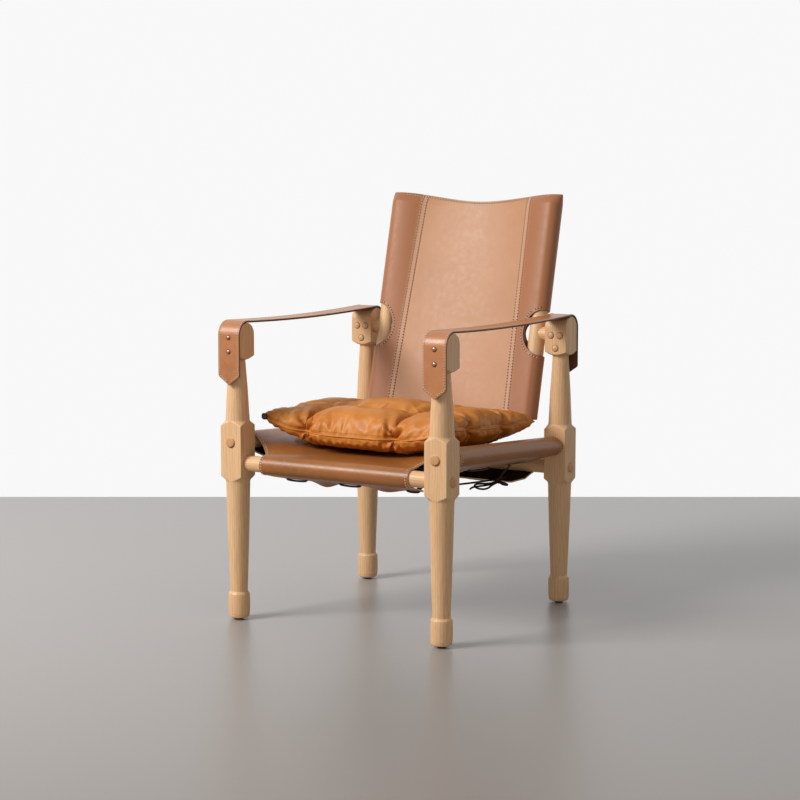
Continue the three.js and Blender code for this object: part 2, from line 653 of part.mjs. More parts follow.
function addSeat() {
  const across = [0.24, 0.48, 0.7, 0.86, 1];
  const columns = [...across.map((f) => -f).reverse(), 0, ...across];
  const sideTurns = wrapTurns(SIDE_TOUCH);
  const sideRuns = [0.5 * SIDE_FLAP, SIDE_FLAP];
  const endRuns = [0.5 * END_FLAP, END_FLAP];
  const endHalfWidth = seatHalfWidth(seatEndY);

  const sideStrip = (side, y) => [
    ...sideTurns.map(([out, up]) => new THREE.Vector3(side * (LEG_X + out), y, sideRailZ(y) + up)),
    ...sideRuns.map((run) => new THREE.Vector3(side * (LEG_X - run), y, sideFlapZ(run, y))),
  ];
  const noStrip = Array(sideTurns.length + sideRuns.length).fill(null);
  const mainRow = (y) => {
    const width = seatHalfWidth(y);
    const middle = columns.map((f) => new THREE.Vector3(f * width, y, seatZ(f * width, y)));
    const hasSides = y >= frontSleeveEnd && y <= rearSleeveEnd;
    const left = hasSides ? sideStrip(-1, y).reverse() : noStrip;
    return [...left, ...middle, ...(hasSides ? sideStrip(1, y) : noStrip)];
  };
  const endRow = (y, z) => [
    ...noStrip, ...columns.map((f) => new THREE.Vector3(f * endHalfWidth, y, z)), ...noStrip];
  const turns = wrapTurns(CROSS_TOUCH);
  const front = [
    ...turns.map(([out, up]) => endRow(-LEG_Y - out, FRONT_RAIL_Z + up)),
    ...endRuns.map((run) => endRow(-LEG_Y + run, frontFlapZ(run))),
  ].reverse();
  const rear = [
    ...turns.map(([out, up]) => endRow(LEG_Y + out, REAR_RAIL_Z + up)),
    ...endRuns.map((run) => endRow(LEG_Y - run, rearFlapZ(run))),
  ];
  const rows = [
    -seatEndY,
    ...CUT_STATIONS.map((part) => -LEG_Y + part * FRONT_CUT.length),
    frontSleeveEnd,
    ...SEAT_STATIONS_Y,
    rearSleeveEnd,
    ...[...CUT_STATIONS].reverse().map((part) => LEG_Y - part * REAR_CUT.length),
    seatEndY,
  ].map(mainRow);
  const sheet = solidOf(thickSheet([...front, ...rows, ...rear], SEAT_LEATHER));
  const punch = ([x, y, z]) =>
    solidOf(rod(LACE_HOLE_RADIUS, [x, y, z - 12], [x, y, z + 12], 8));
  const punches = [
    ...LONG_LACE_X.flatMap(longLaceHoles), longLaceHoles(LONG_LACE_END_X)[1],
    ...CROSS_LACE_Y.flatMap(crossLaceHoles),
  ];
  place(chair, 'seat_sling', geometryOf(cut(sheet, punches.map(punch))), seatLeather);
}

// The holes that a run of lace goes through, one in each of two facing flaps
function longLaceHoles(x) {
  const run = END_FLAP - LACE_HOLE_INSET;
  return [[x, LEG_Y - run, rearFlapZ(run)], [x, -LEG_Y + run, frontFlapZ(run)]];
}

function crossLaceHoles(y) {
  const run = SIDE_FLAP - LACE_HOLE_INSET;
  return [1, -1].map((side) => [side * (LEG_X - run), y, sideFlapZ(run, y)]);
}

// A curve that passes its points one step each, so that bends get close steps
class Route extends THREE.CatmullRomCurve3 {
  getUtoTmapping(u) {
    return u;
  }
}

function cord(points) {
  const route = new Route(points, false, 'centripetal');
  const section = new THREE.Shape();
  for (let i = 0; i < LACE_SIDES; i += 1) {
    const angle = (2 * Math.PI * i) / LACE_SIDES;
    section[i === 0 ? 'moveTo' : 'lineTo'](LACE_RADIUS * Math.cos(angle), LACE_RADIUS * Math.sin(angle));
  }
  return new THREE.ExtrudeGeometry(section, {
    steps: points.length - 1, extrudePath: route, bevelEnabled: false });
}

const LACE_LIFT = SEAT_LEATHER / 2 + LACE_RADIUS + 0.9; // from the middle of a flap

// A lace over the flaps from hole to hole, down, along underneath and up through the next
function laceRoute(holePairs, advance) {
  const points = [];
  const add = (base, direction, distance, height) => points.push(
    base.clone().addScaledVector(direction, distance).add(new THREE.Vector3(0, 0, height)));
  holePairs.forEach((pair, i) => {
    const [start, end] = (i % 2 ? [...pair].reverse() : pair).map((at) => new THREE.Vector3(...at));
    const across = end.clone().sub(start).setZ(0).normalize();
    add(start, advance, -LACE_BEND, -LACE_LIFT);
    add(start, advance, 0, -LACE_RADIUS);
    add(start, advance, 0, LACE_RADIUS);
    add(start, across, LACE_BEND, LACE_LIFT);
    for (const t of [0.2, 0.5, 0.8]) {
      add(start.clone().lerp(end, t), across, 0, LACE_LIFT - LACE_SAG * 4 * t * (1 - t));
    }
    add(end, across, -LACE_BEND, LACE_LIFT);
    add(end, advance, 0, LACE_RADIUS);
    add(end, advance, 0, -LACE_RADIUS);
    add(end, advance, LACE_BEND, -LACE_LIFT);
  });
  return points;
}

// A small stopper knot at the end of a lace
const knot = (centre, radius = KNOT_RADIUS) =>
  solidOf(new THREE.SphereGeometry(radius, 6, 5).translate(...centre.toArray()));

// Loops and tails of the bow, as [x, y, z] from its knot
const BOW_CORDS = [
  [[-3, -3, -2], [-12, -15, -3], [-18, -30, -2], [-21, -46, -1], [-18, -60, -2], [-6, -69, -5], [7, -67, -6],
    [10, -54, -5], [7, -36, -3], [3, -4, -1]],
  [[3, 2, 0], [10, -6, -1], [18, -10, -3], [24, -4, -5], [20, 6, -5], [10, 8, -3], [1, 4, 0]],
  [[0, -3, -2], [-9, -22, -5], [-16, -45, -5], [-20, -64, -5], [-17, -79, -6]],
];

const vectors = (points) => points.map((point) => new THREE.Vector3(...point));

// The cross lace starts in a knot and ends in the bow
function addCrossLace() {
  const advance = new THREE.Vector3(0, 1, 0);
  const route = laceRoute(CROSS_LACE_Y.map(crossLaceHoles), advance);
  const start = route[0].clone().add(new THREE.Vector3(0, -2 * KNOT_RADIUS, -KNOT_RADIUS));
  const bow = new THREE.Vector3(...BOW);
  const drop = [0.35, 0.7, 1].map((t) => route.at(-1).clone().lerp(bow, t));
  let lace = solidOf(cord([start, ...route, ...drop])).add(knot(start)).add(knot(bow, BOW_KNOT_RADIUS));
  for (const points of BOW_CORDS) {
    lace = lace.add(solidOf(cord(vectors(points).map((point) => point.add(bow)))));
  }
  place(chair, 'cross_seat_lace', geometryOf(lace), laceLeather);
}

// The long lace starts in a knot under the rear flap and ends in one on top of the front flap
function addLongLace() {
  const advance = new THREE.Vector3(1, 0, 0);
  const route = laceRoute(LONG_LACE_X.map(longLaceHoles), advance);
  const start = route[0].clone().add(new THREE.Vector3(-2 * KNOT_RADIUS, 0, -KNOT_RADIUS));
  const lastHole = new THREE.Vector3(...longLaceHoles(LONG_LACE_END_X)[1]);
  const ending = vectors([
    [-LACE_BEND, 0, -LACE_LIFT], [0, 0, -LACE_RADIUS], [0, 0, LACE_RADIUS], [0, 0, LACE_LIFT + LACE_RADIUS],
  ]).map((point) => point.add(lastHole));
  const lace = solidOf(cord([start, ...route, ...ending])).add(knot(start)).add(knot(ending.at(-1)));
  place(chair, 'long_seat_lace', geometryOf(lace), laceLeather);
}

// The cushion: two faces that share a seam, pinched at two places on each side
function pinch(position) {
  const distance = (Math.abs(position) - CUSHION_PINCH_AT) / CUSHION_PINCH_WIDTH;
  return Math.exp(-distance * distance);
}

function cushionPoint(a, b, face) {
  const drawIn = (at) => CUSHION_DRAW_IN * (1 - at ** 4) + CUSHION_PINCH * pinch(at);
  const x = a * (CUSHION_HALF_X - drawIn(b));
  const y = CUSHION_Y + b * (CUSHION_HALF_Y - drawIn(a));
  const seam = lerp(CUSHION_FRONT_CORNER_Z, CUSHION_REAR_CORNER_Z, (b + 1) / 2)
    - CUSHION_SADDLE * (1 - a ** 4) - CUSHION_SIDE_DIP * a ** 4 * (1 - b * b);
  const fullness = ((1 - a * a) * (1 - b * b)) ** CUSHION_FULLNESS;
  if (face > 0) {
    const valley = 1 - CUSHION_VALLEY * Math.max(pinch(a), pinch(b));
    return [x, y, seam + CUSHION_CROWN * fullness * valley];
  }
  const belly = seam - CUSHION_BELLY * fullness;
  return [x, y, Math.max(belly, seatZ(x, y) + SEAT_LEATHER / 2 + CUSHION_CLEARANCE)];
}

function addCushion() {
  const half = [0.2, 0.38, CUSHION_PINCH_AT, 0.66, 0.82, 0.93, 0.985, 1];
  const stations = [...half.map((s) => -s).reverse(), 0, ...half];
  const size = stations.length;
  const isEdge = (i, j) => i === 0 || j === 0 || i === size - 1 || j === size - 1;
  const positions = [];
  const ids = { 1: new Map(), [-1]: new Map() };
  for (const face of [1, -1]) {
    for (let j = 0; j < size; j += 1) {
      for (let i = 0; i < size; i += 1) {
        const key = j * size + i;
        if (face < 0 && isEdge(i, j)) {
          ids[face].set(key, ids[1].get(key));
        } else {
          ids[face].set(key, positions.length / 3);
          positions.push(...cushionPoint(stations[i], stations[j], face));
        }
      }
    }
  }
  const indices = [];
  for (const face of [1, -1]) {
    for (let j = 0; j + 1 < size; j += 1) {
      for (let i = 0; i + 1 < size; i += 1) {
        const [a, b, c, d] = [[i, j], [i + 1, j], [i + 1, j + 1], [i, j + 1]]
          .map(([u, v]) => ids[face].get(v * size + u));
        if (face > 0) indices.push(a, b, c, a, c, d);
        else indices.push(a, c, b, a, d, c);
      }
    }
  }
  place(chair, 'seat_cushion', meshGeometry(positions, indices), cushionLeather);

  const [tabWidth, tabThickness] = TAB_SIZE;
  place(chair, 'cushion_corner_tab', new THREE.BoxGeometry(...TAB_SIZE), laceLeather,
    tabWidth / 2 - TAB_OVERHANG - CUSHION_HALF_X,
    CUSHION_Y - CUSHION_HALF_Y - tabThickness / 2 - 2 * GAP,
    CUSHION_FRONT_CORNER_Z);
}

addLegs();
addCrossRail('front_rail', -LEG_Y, FRONT_RAIL_Z);
addCrossRail('rear_rail', LEG_Y, REAR_RAIL_Z);
addSideRails();
addStraps();
addStuds();
addPlugs();
addPivots();
addPosts();
addBack();
addSeat();
addCrossLace();
addLongLace();
addCushion();

export default chair;
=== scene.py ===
# A leather lounge chair of the safari kind: turned ash legs and rails, a laced seat, a back that
# pivots, arm straps and a loose cushion. Metres, +Z up, the chair faces -Y.
import json
import math

import bmesh
import bpy
import numpy as np
from mathutils import Matrix, Vector
from mathutils.bvhtree import BVHTree
from mathutils.kdtree import KDTree


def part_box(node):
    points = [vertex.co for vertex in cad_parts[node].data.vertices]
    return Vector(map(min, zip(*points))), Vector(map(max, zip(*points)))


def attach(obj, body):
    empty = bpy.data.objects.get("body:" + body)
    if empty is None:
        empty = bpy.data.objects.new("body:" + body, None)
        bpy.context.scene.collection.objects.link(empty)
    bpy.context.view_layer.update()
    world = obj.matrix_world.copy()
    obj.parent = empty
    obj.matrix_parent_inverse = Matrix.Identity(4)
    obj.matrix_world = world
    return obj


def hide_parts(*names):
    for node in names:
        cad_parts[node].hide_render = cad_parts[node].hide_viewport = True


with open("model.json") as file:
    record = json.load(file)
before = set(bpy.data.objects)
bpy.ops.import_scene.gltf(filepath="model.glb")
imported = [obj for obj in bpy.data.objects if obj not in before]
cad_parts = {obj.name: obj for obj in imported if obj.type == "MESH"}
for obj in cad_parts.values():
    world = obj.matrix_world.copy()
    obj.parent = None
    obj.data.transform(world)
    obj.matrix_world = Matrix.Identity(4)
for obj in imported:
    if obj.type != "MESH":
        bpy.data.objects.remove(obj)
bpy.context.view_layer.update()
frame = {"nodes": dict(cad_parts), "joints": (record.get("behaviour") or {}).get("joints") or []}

scene = bpy.context.scene
SIDES = (("left", -1), ("right", 1))


def middle(node):
    low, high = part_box(node)
    return (low + high) / 2


# Places and sizes that the frame gives
LEG_LOW, LEG_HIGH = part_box("front_right_leg")
LEG_X = middle("front_right_glide").x
FRONT_Y = middle("front_right_glide").y
REAR_Y = middle("rear_right_glide").y
MID_Y = (FRONT_Y + REAR_Y) / 2
LEG_Y = (REAR_Y - FRONT_Y) / 2
BLANK_HALF = (LEG_HIGH.x - LEG_LOW.x) / 2
CREST = LEG_HIGH.z
FOOT_BOTTOM = LEG_LOW.z
FRONT_RAIL_Z = middle("front_rail").z
REAR_RAIL_Z = middle("rear_rail").z
TENON_END_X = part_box("front_rail")[1].x
RAIL_RADIUS = (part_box("front_rail")[1].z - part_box("front_rail")[0].z) / 2
PIVOT = Vector(frame["joints"][0]["pos_m"])
POST_X = middle("right_back_post").x
CUSHION_LOW, CUSHION_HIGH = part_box("seat_cushion")

# Legs
FOOT_RADIUS = 0.0215
FOOT_TOP = 0.055
ANKLE_RADIUS = 0.017
NECK_RADIUS = 0.016
SHAFT_RADIUS = 0.0236
SWELL = 0.0006  # of each taper at its middle
EASED = 0.0016  # the rounding of the blank's long edges
TURNED_EDGE = 0.0007  # the rounding where turning meets the square
END_GRAIN = 0.0008  # the length at each end of a turned piece that shows end grain
GLIDE_RADIUS = 0.0085
FRONT_LEG = {"block_bottom": 0.286, "block_top": 0.384, "head_bottom": 0.521}
REAR_LEG = {"block_bottom": 0.2565, "block_top": 0.356, "head_bottom": 0.5145}

# Rails, posts and their fittings
SIDE_RAIL_FRONT_Z = 0.352
SIDE_RAIL_REAR_Z = 0.323
RAIL_RING = 0.0045  # width of its growth rings
TENON_RADIUS = 0.0095
TENON_CLEARANCE = 0.0006
TENON_CHAMFER = (0.0012, 0.0008)  # in from the side and along the tenon
TENON_DOME = 0.0003
POST_RADIUS = 0.017
POST_LOW = -0.167  # along the post from the pivot
POST_HIGH = 0.262
POST_CHAMFER = 0.003
TILT = math.radians(13.7)
BACK_TURN = Matrix.Translation(PIVOT) @ Matrix.Rotation(-TILT, 4, "X")  # up the leaning back
FIT = 0.0003
SPACER_RADIUS = 0.015
SPACER_START = 0.004  # from the post's axis, inside the post before the drum is hollowed
BOLT_RADIUS = 0.004
BOLT_HEAD_RADIUS = 0.0075
BOLT_HEAD_HEIGHT = 0.005
BOLT_SEAT = 0.0102  # from the post's axis to the bottom of the head's recess
SOCKET_RADIUS = 0.0026
SOCKET_DEPTH = 0.0030
BORE_ENDS = (-0.04, 0.06)  # of a drill through post and spacer, past both
HOLLOW_ENDS = (-0.05, 0.05)  # of the cutter that hollows a spacer

# Back leather, its heights measured along the posts from the pivot
BACK_LOW = -0.174
BACK_HIGH = 0.286
BACK_LEATHER = 0.0026
BACK_DIP = 0.013  # of the top edge at its middle
BACK_DIP_REACH = 0.11  # down from the top edge
BACK_FLAT = 0.020  # over which the pockets close below the top edge
BACK_CENTRE_LOW = -0.0135  # depth of the leather half way between the posts
BACK_CENTRE_HIGH = 0.015
BACK_POCKET = 1.6  # how full the pocket is between its seam and the post: 1 is flat
SEAM_LOW_X = 0.1385
SEAM_HIGH_X = 0.1235
SEAM_HALF = 0.00475  # half the distance between a seam's two rows
SEAM_BAND = 0.0005  # how far the band between them stands forward
SEAM_SHOULDER = 0.0012
ROW_DEPTH = 0.0002  # how far the rows are drawn in
ROW_WIDTH = 0.0009
RETURN_STEP = 1.04  # from layer to layer at the return, in thicknesses of the leather
RETURN_PAST_SEAM = 0.010
RETURN_X = 0.153  # where the returning leather lies against the front layer
POCKET_START = math.radians(-78)
POCKET_SWEEP = math.radians(218)
STRIP_SHADE_FADE = 0.003
ARM_HOLE_RADIUS = 0.047
ARM_HOLE_X = 0.203
ARM_HOLE_REACH = 0.06  # of its cutter, to the front and to the rear of the posts
POCKET_RADIUS = POST_RADIUS + 2 * FIT + BACK_LEATHER / 2

# Straps, studs and plugs
STRAP_WIDTH = 0.050
STRAP_LEATHER = 0.004
STRAP_EASE = 0.0011  # the rounding of its edges
STRAP_SAG = 0.005
STRAP_CORNER_Z = 0.482  # where its ends start to narrow
STRAP_TIP_Z = 0.465
STRAP_TIP_HALF = 0.0010
STRAP_TAIL_STEPS = 26
STRAP_BEND_STEPS = 18
STRAP_SPAN_STEPS = 60
GRAIN_SIDE, RIM, EDGE, FLESH_SIDE = range(4)  # the strap's material slots
STUD = {"Radius": 0.0042, "Height": 0.0024, "Collar Radius": 0.0049}
PLUG = {"Radius": 0.0065, "Height": 0.0030, "Collar Radius": 0.0071}
COLLAR_HEIGHT = 0.0006

# Seat leather; its y counts from the middle between the legs
SEAT_LEATHER = 0.003
SEAT_WRAP = 0.0179  # radius of the leather's middle round a rail
CUT_X = 0.064
FRONT_CUT = (0.043, 1.45)  # a corner's length and its roundness: 2 is an ellipse, 1 straight
REAR_CUT = (0.028, 2.0)
SEAT_RISE = 0.010
SEAT_FLAT = 0.75  # share of the width that is level at the front and rear
CROSS_TOUCH = math.radians(5)  # where the seat meets the rails, from straight up
SIDE_TOUCH = math.radians(25)
END_FLAP = 0.052
FRONT_FLAP_DROP = 0.0135
REAR_FLAP_DROP = 0.014
SIDE_FLAP = 0.066
SIDE_FLAP_DROP = 0.020
FLAP_END = 0.55  # of the flap's width that is left at its ends
FLAP_STEPS = 10
HOLE_MARGIN = 0.004  # from the last hole to where the flap starts to narrow
PUNCH_RADIUS = 0.0036
PUNCH_HALF = Vector((0, 0, 0.01))
# Where each sag starts and ends between two holes, and how deep it is; -1 is the left side
FRONT_SAGS = [(-0.097, -0.020, 0.0090), (0.027, 0.131, 0.0070)]
REAR_SAGS = [(-0.143, -0.097, 0.0025), (-0.020, 0.027, 0.0025)]
SIDE_SAGS = {-1: [(-0.040, 0.040, 0.005)], 1: [(-0.120, -0.040, 0.005)]}

# Laces
LACE_RADIUS = 0.002
LACE_INSET = 0.011  # of the holes from a flap's edge
LACE_BEND = 0.0035
LACE_SAG = 0.004
LACE_LIFT = SEAT_LEATHER / 2 + LACE_RADIUS + 0.0002
LONG_LACE_X = [-0.143, -0.097, -0.020, 0.027, 0.131]
LONG_LACE_END_X = 0.158
CROSS_LACE_Y = [-0.120, -0.040, 0.040, 0.120]
KNOT = 0.004
BOW_KNOT = 0.0055
BOW = Vector((0.140, 0.138, 0.254))

# Cushion
CUSHION_Y = (CUSHION_LOW.y + CUSHION_HIGH.y) / 2
CUSHION_HALF_X = (CUSHION_HIGH.x - CUSHION_LOW.x) / 2
CUSHION_HALF_Y = (CUSHION_HIGH.y - CUSHION_LOW.y) / 2
CUSHION_FRONT_Z = 0.398
CUSHION_REAR_Z = 0.377
CUSHION_SADDLE = 0.022  # how far the seam dips between the corners
CUSHION_SIDE_DIP = 0.006
CUSHION_CROWN = 0.066  # height of the top over the seam
CUSHION_BELLY = 0.034
CUSHION_FULLNESS = 0.3  # power of its section: less is fuller
CUSHION_DRAW_IN = 0.009  # of each side between the corners
CUSHION_PINCH = 0.014
PINCH_WIDTH = 0.09  # share of the half width
PINCH_CELLS = 1.8  # how much closer the cover's cells lie at a pinch
FRONT_PINCHES = (-0.57, 0.40)  # shares of the half length of the cushion's side
REAR_PINCHES = (-0.50, 0.50)
LEFT_PINCHES = (-0.45, 0.48)
RIGHT_PINCHES = (-0.36, 0.41)
CUSHION_FRONT_SAG = 0.0075
CUSHION_VALLEY = 0.27  # share of the crown that a valley takes away
VALLEY_WIDTH = 0.06
VALLEY_SPREAD = 0.10  # how much wider it is in the cushion's middle
VALLEY_MIDDLE = 0.35  # share of its depth that is left there
CUSHION_CELLS = (104, 90)
CUSHION_CLEARANCE = 0.0015
CUSHION_SLACK = 0.87  # share of the crown before the cover is inflated
CUSHION_CAP = 0.012  # how far inflating may move a point
HELD_AT_VALLEYS = 0.20  # how strongly inflating leaves a place where it was
HELD_AT_BELLY = 0.25
HELD_WIDTH = 0.05
INFLATE_STEPS = 20
CLOTH = {
    "quality": 5,
    "mass": 0.35,
    "tension_stiffness": 25,
    "compression_stiffness": 25,
    "shear_stiffness": 8,
    "bending_stiffness": 0.6,
    "use_pressure": True,
    "uniform_pressure_force": 4.0,
    "shrink_min": -0.05,
    "pin_stiffness": 1.2,
}
PLEAT_START = 0.014
PLEAT_REACH = 0.042
PLEAT_DEPTH = 0.0105
# Direction in degrees, spread and height of each pleat that fans out from a pinch
PLEATS = [(-58, 13, 0.25), (-40, 9, -0.55), (-19, 9, 0.95), (0, 7, -1.25), (15, 7, 0.95),
          (30, 6, -0.60), (44, 8, 0.50), (62, 9, -0.25)]
PUCKER_LENGTH = 0.0137
PUCKER_DRIFT = 0.083  # the length over which they crowd and spread
PUCKER_FADE = 0.131  # the length over which they grow and fade
PUCKER_HEIGHT = 0.0015
PUCKER_PLACE = 0.015  # from the seam
PUCKER_WIDTH = 0.011
SEAM_STILL = 0.004  # next to the seam nothing is folded
SEAM_STEPS = 2400
WELT_RADIUS = 0.0018
TOPSTITCH_RUN = 0.0070  # from the seam to the topstitched row
GROOVE_HALF = 0.0021
TAB_THICK = 0.003
TAB_RIM = 0.0011

# Stitches
BACK_STITCH = {"Pitch": 0.0060, "Thread Width": 0.0019, "Hole Width": 0.0029}
EDGE_STITCH = {"Pitch": 0.0052, "Thread Width": 0.0020, "Hole Width": 0.0014}
CUSHION_STITCH = {"Pitch": 0.0042, "Thread Width": 0.0009, "Hole Width": 0.0010}
STITCH_INSET = 0.0036
POINT_INSET = 1.7  # how much further in a strap's rows run at its points
HOLE_ROW_INSET = 0.0052
TOP_ROW_INSET = 0.0042
STITCH_LIFT = 0.0002
THREAD_SHARE = 0.64  # of the pitch
THREAD_HEIGHT = 0.75  # of its width
HOLE_HEIGHT = 0.14  # of its width

# Camera, at the photograph's viewing angle
SENSOR_WIDTH = 36
FOCAL_PIXELS = 2132.74
PHOTOGRAPH_PIXELS = 800  # its width
LENS = SENSOR_WIDTH * FOCAL_PIXELS / PHOTOGRAPH_PIXELS
CAMERA_PLACE = Vector((2.20258, -3.60006, 0.91913))
CAMERA_TURN = math.radians(31.68)
CAMERA_PITCH = math.radians(6.72)

# Studio
FLOOR_REACH = 5.60  # from the camera to the floor's far edge
FLOOR_HALF = 30
FLOOR_SHADES = (-1.6, 1.3)  # where its darkest and its lightest grey lie, away from the camera
BACKDROP = 0.94  # brightness of the surround as the camera sees it
AMBIENT = 0.27  # its brightness as light on the chair
LAMP_TARGET = Vector((0, 0, 0.45))


# Node helpers
def colour(code):
    channels = [int(code[i:i + 2], 16) / 255 for i in (1, 3, 5)]
    linear = [c / 12.92 if c <= 0.04045 else ((c + 0.055) / 1.055) ** 2.4 for c in channels]
    return (*linear, 1.0)


class Nodes:
    """Short calls to add nodes to a tree and to join them."""

    def __init__(self, tree):
        self.tree = tree

    def put(self, socket, value):
        if isinstance(value, bpy.types.NodeSocket):
            self.tree.links.new(value, socket)
        else:
            socket.default_value = value

    def node(self, kind, inputs=None, **settings):
        made = self.tree.nodes.new(kind)
        for key, value in settings.items():
            setattr(made, key, value)
        for key, value in (inputs or {}).items():
            self.put(made.inputs[key], value)
        return made

    def math(self, operation, a, b=0.0, c=0.0):
        made = self.node("ShaderNodeMath", operation=operation)
        for socket, value in zip(made.inputs, (a, b, c)):
            self.put(socket, value)
        return made.outputs[0]


class Finish(Nodes):
    """A material's nodes."""

    def __init__(self, name):
        self.material = bpy.data.materials.new(name)
        self.material.use_nodes = True
        super().__init__(self.material.node_tree)
        self.shader = self.tree.nodes["Principled BSDF"]

    def set(self, **values):
        for key, value in values.items():
            self.put(self.shader.inputs[key.replace("_", " ")], value)

    def place(self, location=(0, 0, 0), rotation=(0, 0, 0), scale=(1, 1, 1)):
        coordinates = self.node("ShaderNodeTexCoord").outputs["Object"]
        inputs = {"Vector": coordinates, "Location": location, "Rotation": rotation, "Scale": scale}
        return self.node("ShaderNodeMapping", inputs).outputs["Vector"]

    def noise(self, vector, scale, detail=2.0, roughness=0.5):
        inputs = {"Vector": vector, "Scale": scale, "Detail": detail, "Roughness": roughness}
        return self.node("ShaderNodeTexNoise", inputs).outputs["Fac"]

    def remap(self, value, low, high, to_low=0.0, to_high=1.0):
        inputs = {"Value": value, "From Min": low, "From Max": high, "To Min": to_low,
                  "To Max": to_high}
        return self.node("ShaderNodeMapRange", inputs).outputs["Result"]

    def mix(self, share, a, b, blend="MIX"):
        made = self.node("ShaderNodeMix", data_type="RGBA", blend_type=blend)
        self.put(made.inputs[0], share)
        self.put(made.inputs[6], a)
        self.put(made.inputs[7], b)
        return made.outputs[2]

    def attribute(self, name):
        return self.node("ShaderNodeAttribute", attribute_name=name).outputs["Fac"]

    def bump(self, *layers):
        """Bumps the shader's normal by (height, strength, distance) layers."""
        normal = None
        for height, strength, distance in layers:
            made = self.node("ShaderNodeBump", {"Height": height, "Strength": strength,
                                                "Distance": distance})
            if normal is not None:
                self.put(made.inputs["Normal"], normal)
            normal = made.outputs["Normal"]
        self.put(self.shader.inputs["Normal"], normal)


# Finishes
WOOD_PALE = colour("#e9c092")
WOOD_MID = colour("#d9a672")
WOOD_DARK = colour("#b7804c")


def ash(name, pith, rotation=(0, 0, 0), ring=0.0052, darker=0.0):
    """Oiled ash: growth rings about the pith, fibres and pores along local Z."""
    finish = Finish(name)
    grain = finish.place(location=pith, rotation=rotation)

    def streaks(across, along, detail=1.0, roughness=0.5):
        """Noise with this many cells to the metre across and along the grain."""
        inputs = {"Vector": grain, "Scale": (across, across, along)}
        stretched = finish.node("ShaderNodeMapping", inputs).outputs["Vector"]
        return finish.noise(stretched, 1.0, detail, roughness)

    split = finish.node("ShaderNodeSeparateXYZ", {"Vector": grain})
    flat = finish.node("ShaderNodeCombineXYZ", {"X": split.outputs["X"], "Y": split.outputs["Y"]})
    length = finish.node("ShaderNodeVectorMath", {0: flat.outputs[0]}, operation="LENGTH")
    radius = length.outputs["Value"]
    drift = streaks(9, 2.2, 2.0)
    wander = streaks(60, 9)
    bent = finish.math("MULTIPLY_ADD", drift, 0.030, radius)
    bent = finish.math("MULTIPLY_ADD", wander, 0.0022, bent)
    year = finish.math("FRACT", finish.math("DIVIDE", bent, ring))
    late = finish.math("POWER", year, 2.2)
    early = finish.remap(year, 0.22, 0.0)
    fibre = streaks(520, 14, 3.0, 0.6)
    pores = finish.remap(streaks(900, 42), 0.60, 0.70)
    patch = streaks(14, 5)
    line = finish.math("MAXIMUM", finish.math("MULTIPLY", late, 0.60),
                       finish.math("MULTIPLY", early, 0.70))
    tone = finish.mix(line, WOOD_PALE, WOOD_MID)
    tone = finish.mix(finish.math("MULTIPLY", finish.remap(fibre, 0.42, 0.75), 0.45), tone, WOOD_DARK)
    tone = finish.mix(finish.remap(patch, 0.35, 0.75, 0.0, 0.35), tone, WOOD_MID)
    tone = finish.mix(finish.math("MULTIPLY", pores, finish.remap(early, 0.0, 1.0, 0.15, 0.6)), tone,
                      WOOD_DARK)
    if darker:
        tone = finish.mix(darker, tone, WOOD_DARK)
    finish.set(Base_Color=tone, Roughness=finish.remap(fibre, 0.3, 0.8, 0.40, 0.56))
    finish.bump((fibre, 0.25, 0.0003), (pores, -0.2, 0.0002))
    return finish.material


def leather(name, base, deep, light, roughness=(0.38, 0.52), grain=0.5, mottling=0.5, sheen=0.32,
            tints=(), groove=None):
    """Vegetable-tanned leather: large clouds, fine mottling and a pebbled grain. Each of the tints is
    an attribute and the colour it brings, groove an attribute and its value along a sewn line, where
    the leather is bumped in and darkened with painted shade."""
    finish = Finish(name)
    place = finish.place()
    clouds = finish.noise(place, 9.0, 3.0, 0.55)
    mottle = finish.noise(place, 85.0, 4.0, 0.6)
    cells = finish.node("ShaderNodeTexVoronoi", {"Vector": place, "Scale": 620.0}).outputs["Distance"]
    fine = finish.noise(place, 900.0, 3.0, 0.6)
    tone = finish.mix(finish.remap(clouds, 0.36, 0.66), colour(deep), colour(base))
    tone = finish.mix(finish.math("MULTIPLY", finish.remap(mottle, 0.45, 0.75), mottling), tone,
                      colour(light))
    for attribute, code in tints:
        tone = finish.mix(finish.attribute(attribute), tone, colour(code))
    layers = [(cells, grain * 0.5, 0.00025), (fine, grain * 0.3, 0.0002), (clouds, 0.25, 0.002)]
    if groove is not None:
        attribute, run = groove
        away = finish.math("ABSOLUTE", finish.math("SUBTRACT", finish.attribute(attribute), run))
        line = finish.remap(away, GROOVE_HALF, 0.0)
        # Painted shade: the groove is darkened towards the deep colour
        tone = finish.mix(finish.math("MULTIPLY", line, 0.6), tone, colour(deep))
        layers.append((line, -1.0, 0.0018))
    finish.set(Base_Color=tone, Roughness=finish.remap(mottle, 0.3, 0.75, *roughness),
               Specular_IOR_Level=sheen)
    finish.bump(*layers)
    return finish.material


def fitting(name, code, roughness, metallic=0.0, scratch=0.15, scale=400.0):
    """A small fitting's finish with fine wear."""
    finish = Finish(name)
    place = finish.place()
    wear = finish.noise(place, scale, 3.0, 0.6)
    deep = tuple(c * 0.6 for c in colour(code)[:3]) + (1.0,)
    tone = finish.mix(finish.remap(wear, 0.35, 0.7), deep, colour(code))
    worn = finish.remap(wear, 0.3, 0.7, roughness - 0.06, roughness + 0.1)
    finish.set(Base_Color=tone, Roughness=worn, Metallic=metallic)
    finish.bump((wear, scratch, 0.0001))
    return finish.material


# Mesh helpers
def linked(name, data):
    made = bpy.data.objects.new(name, data)
    scene.collection.objects.link(made)
    return made


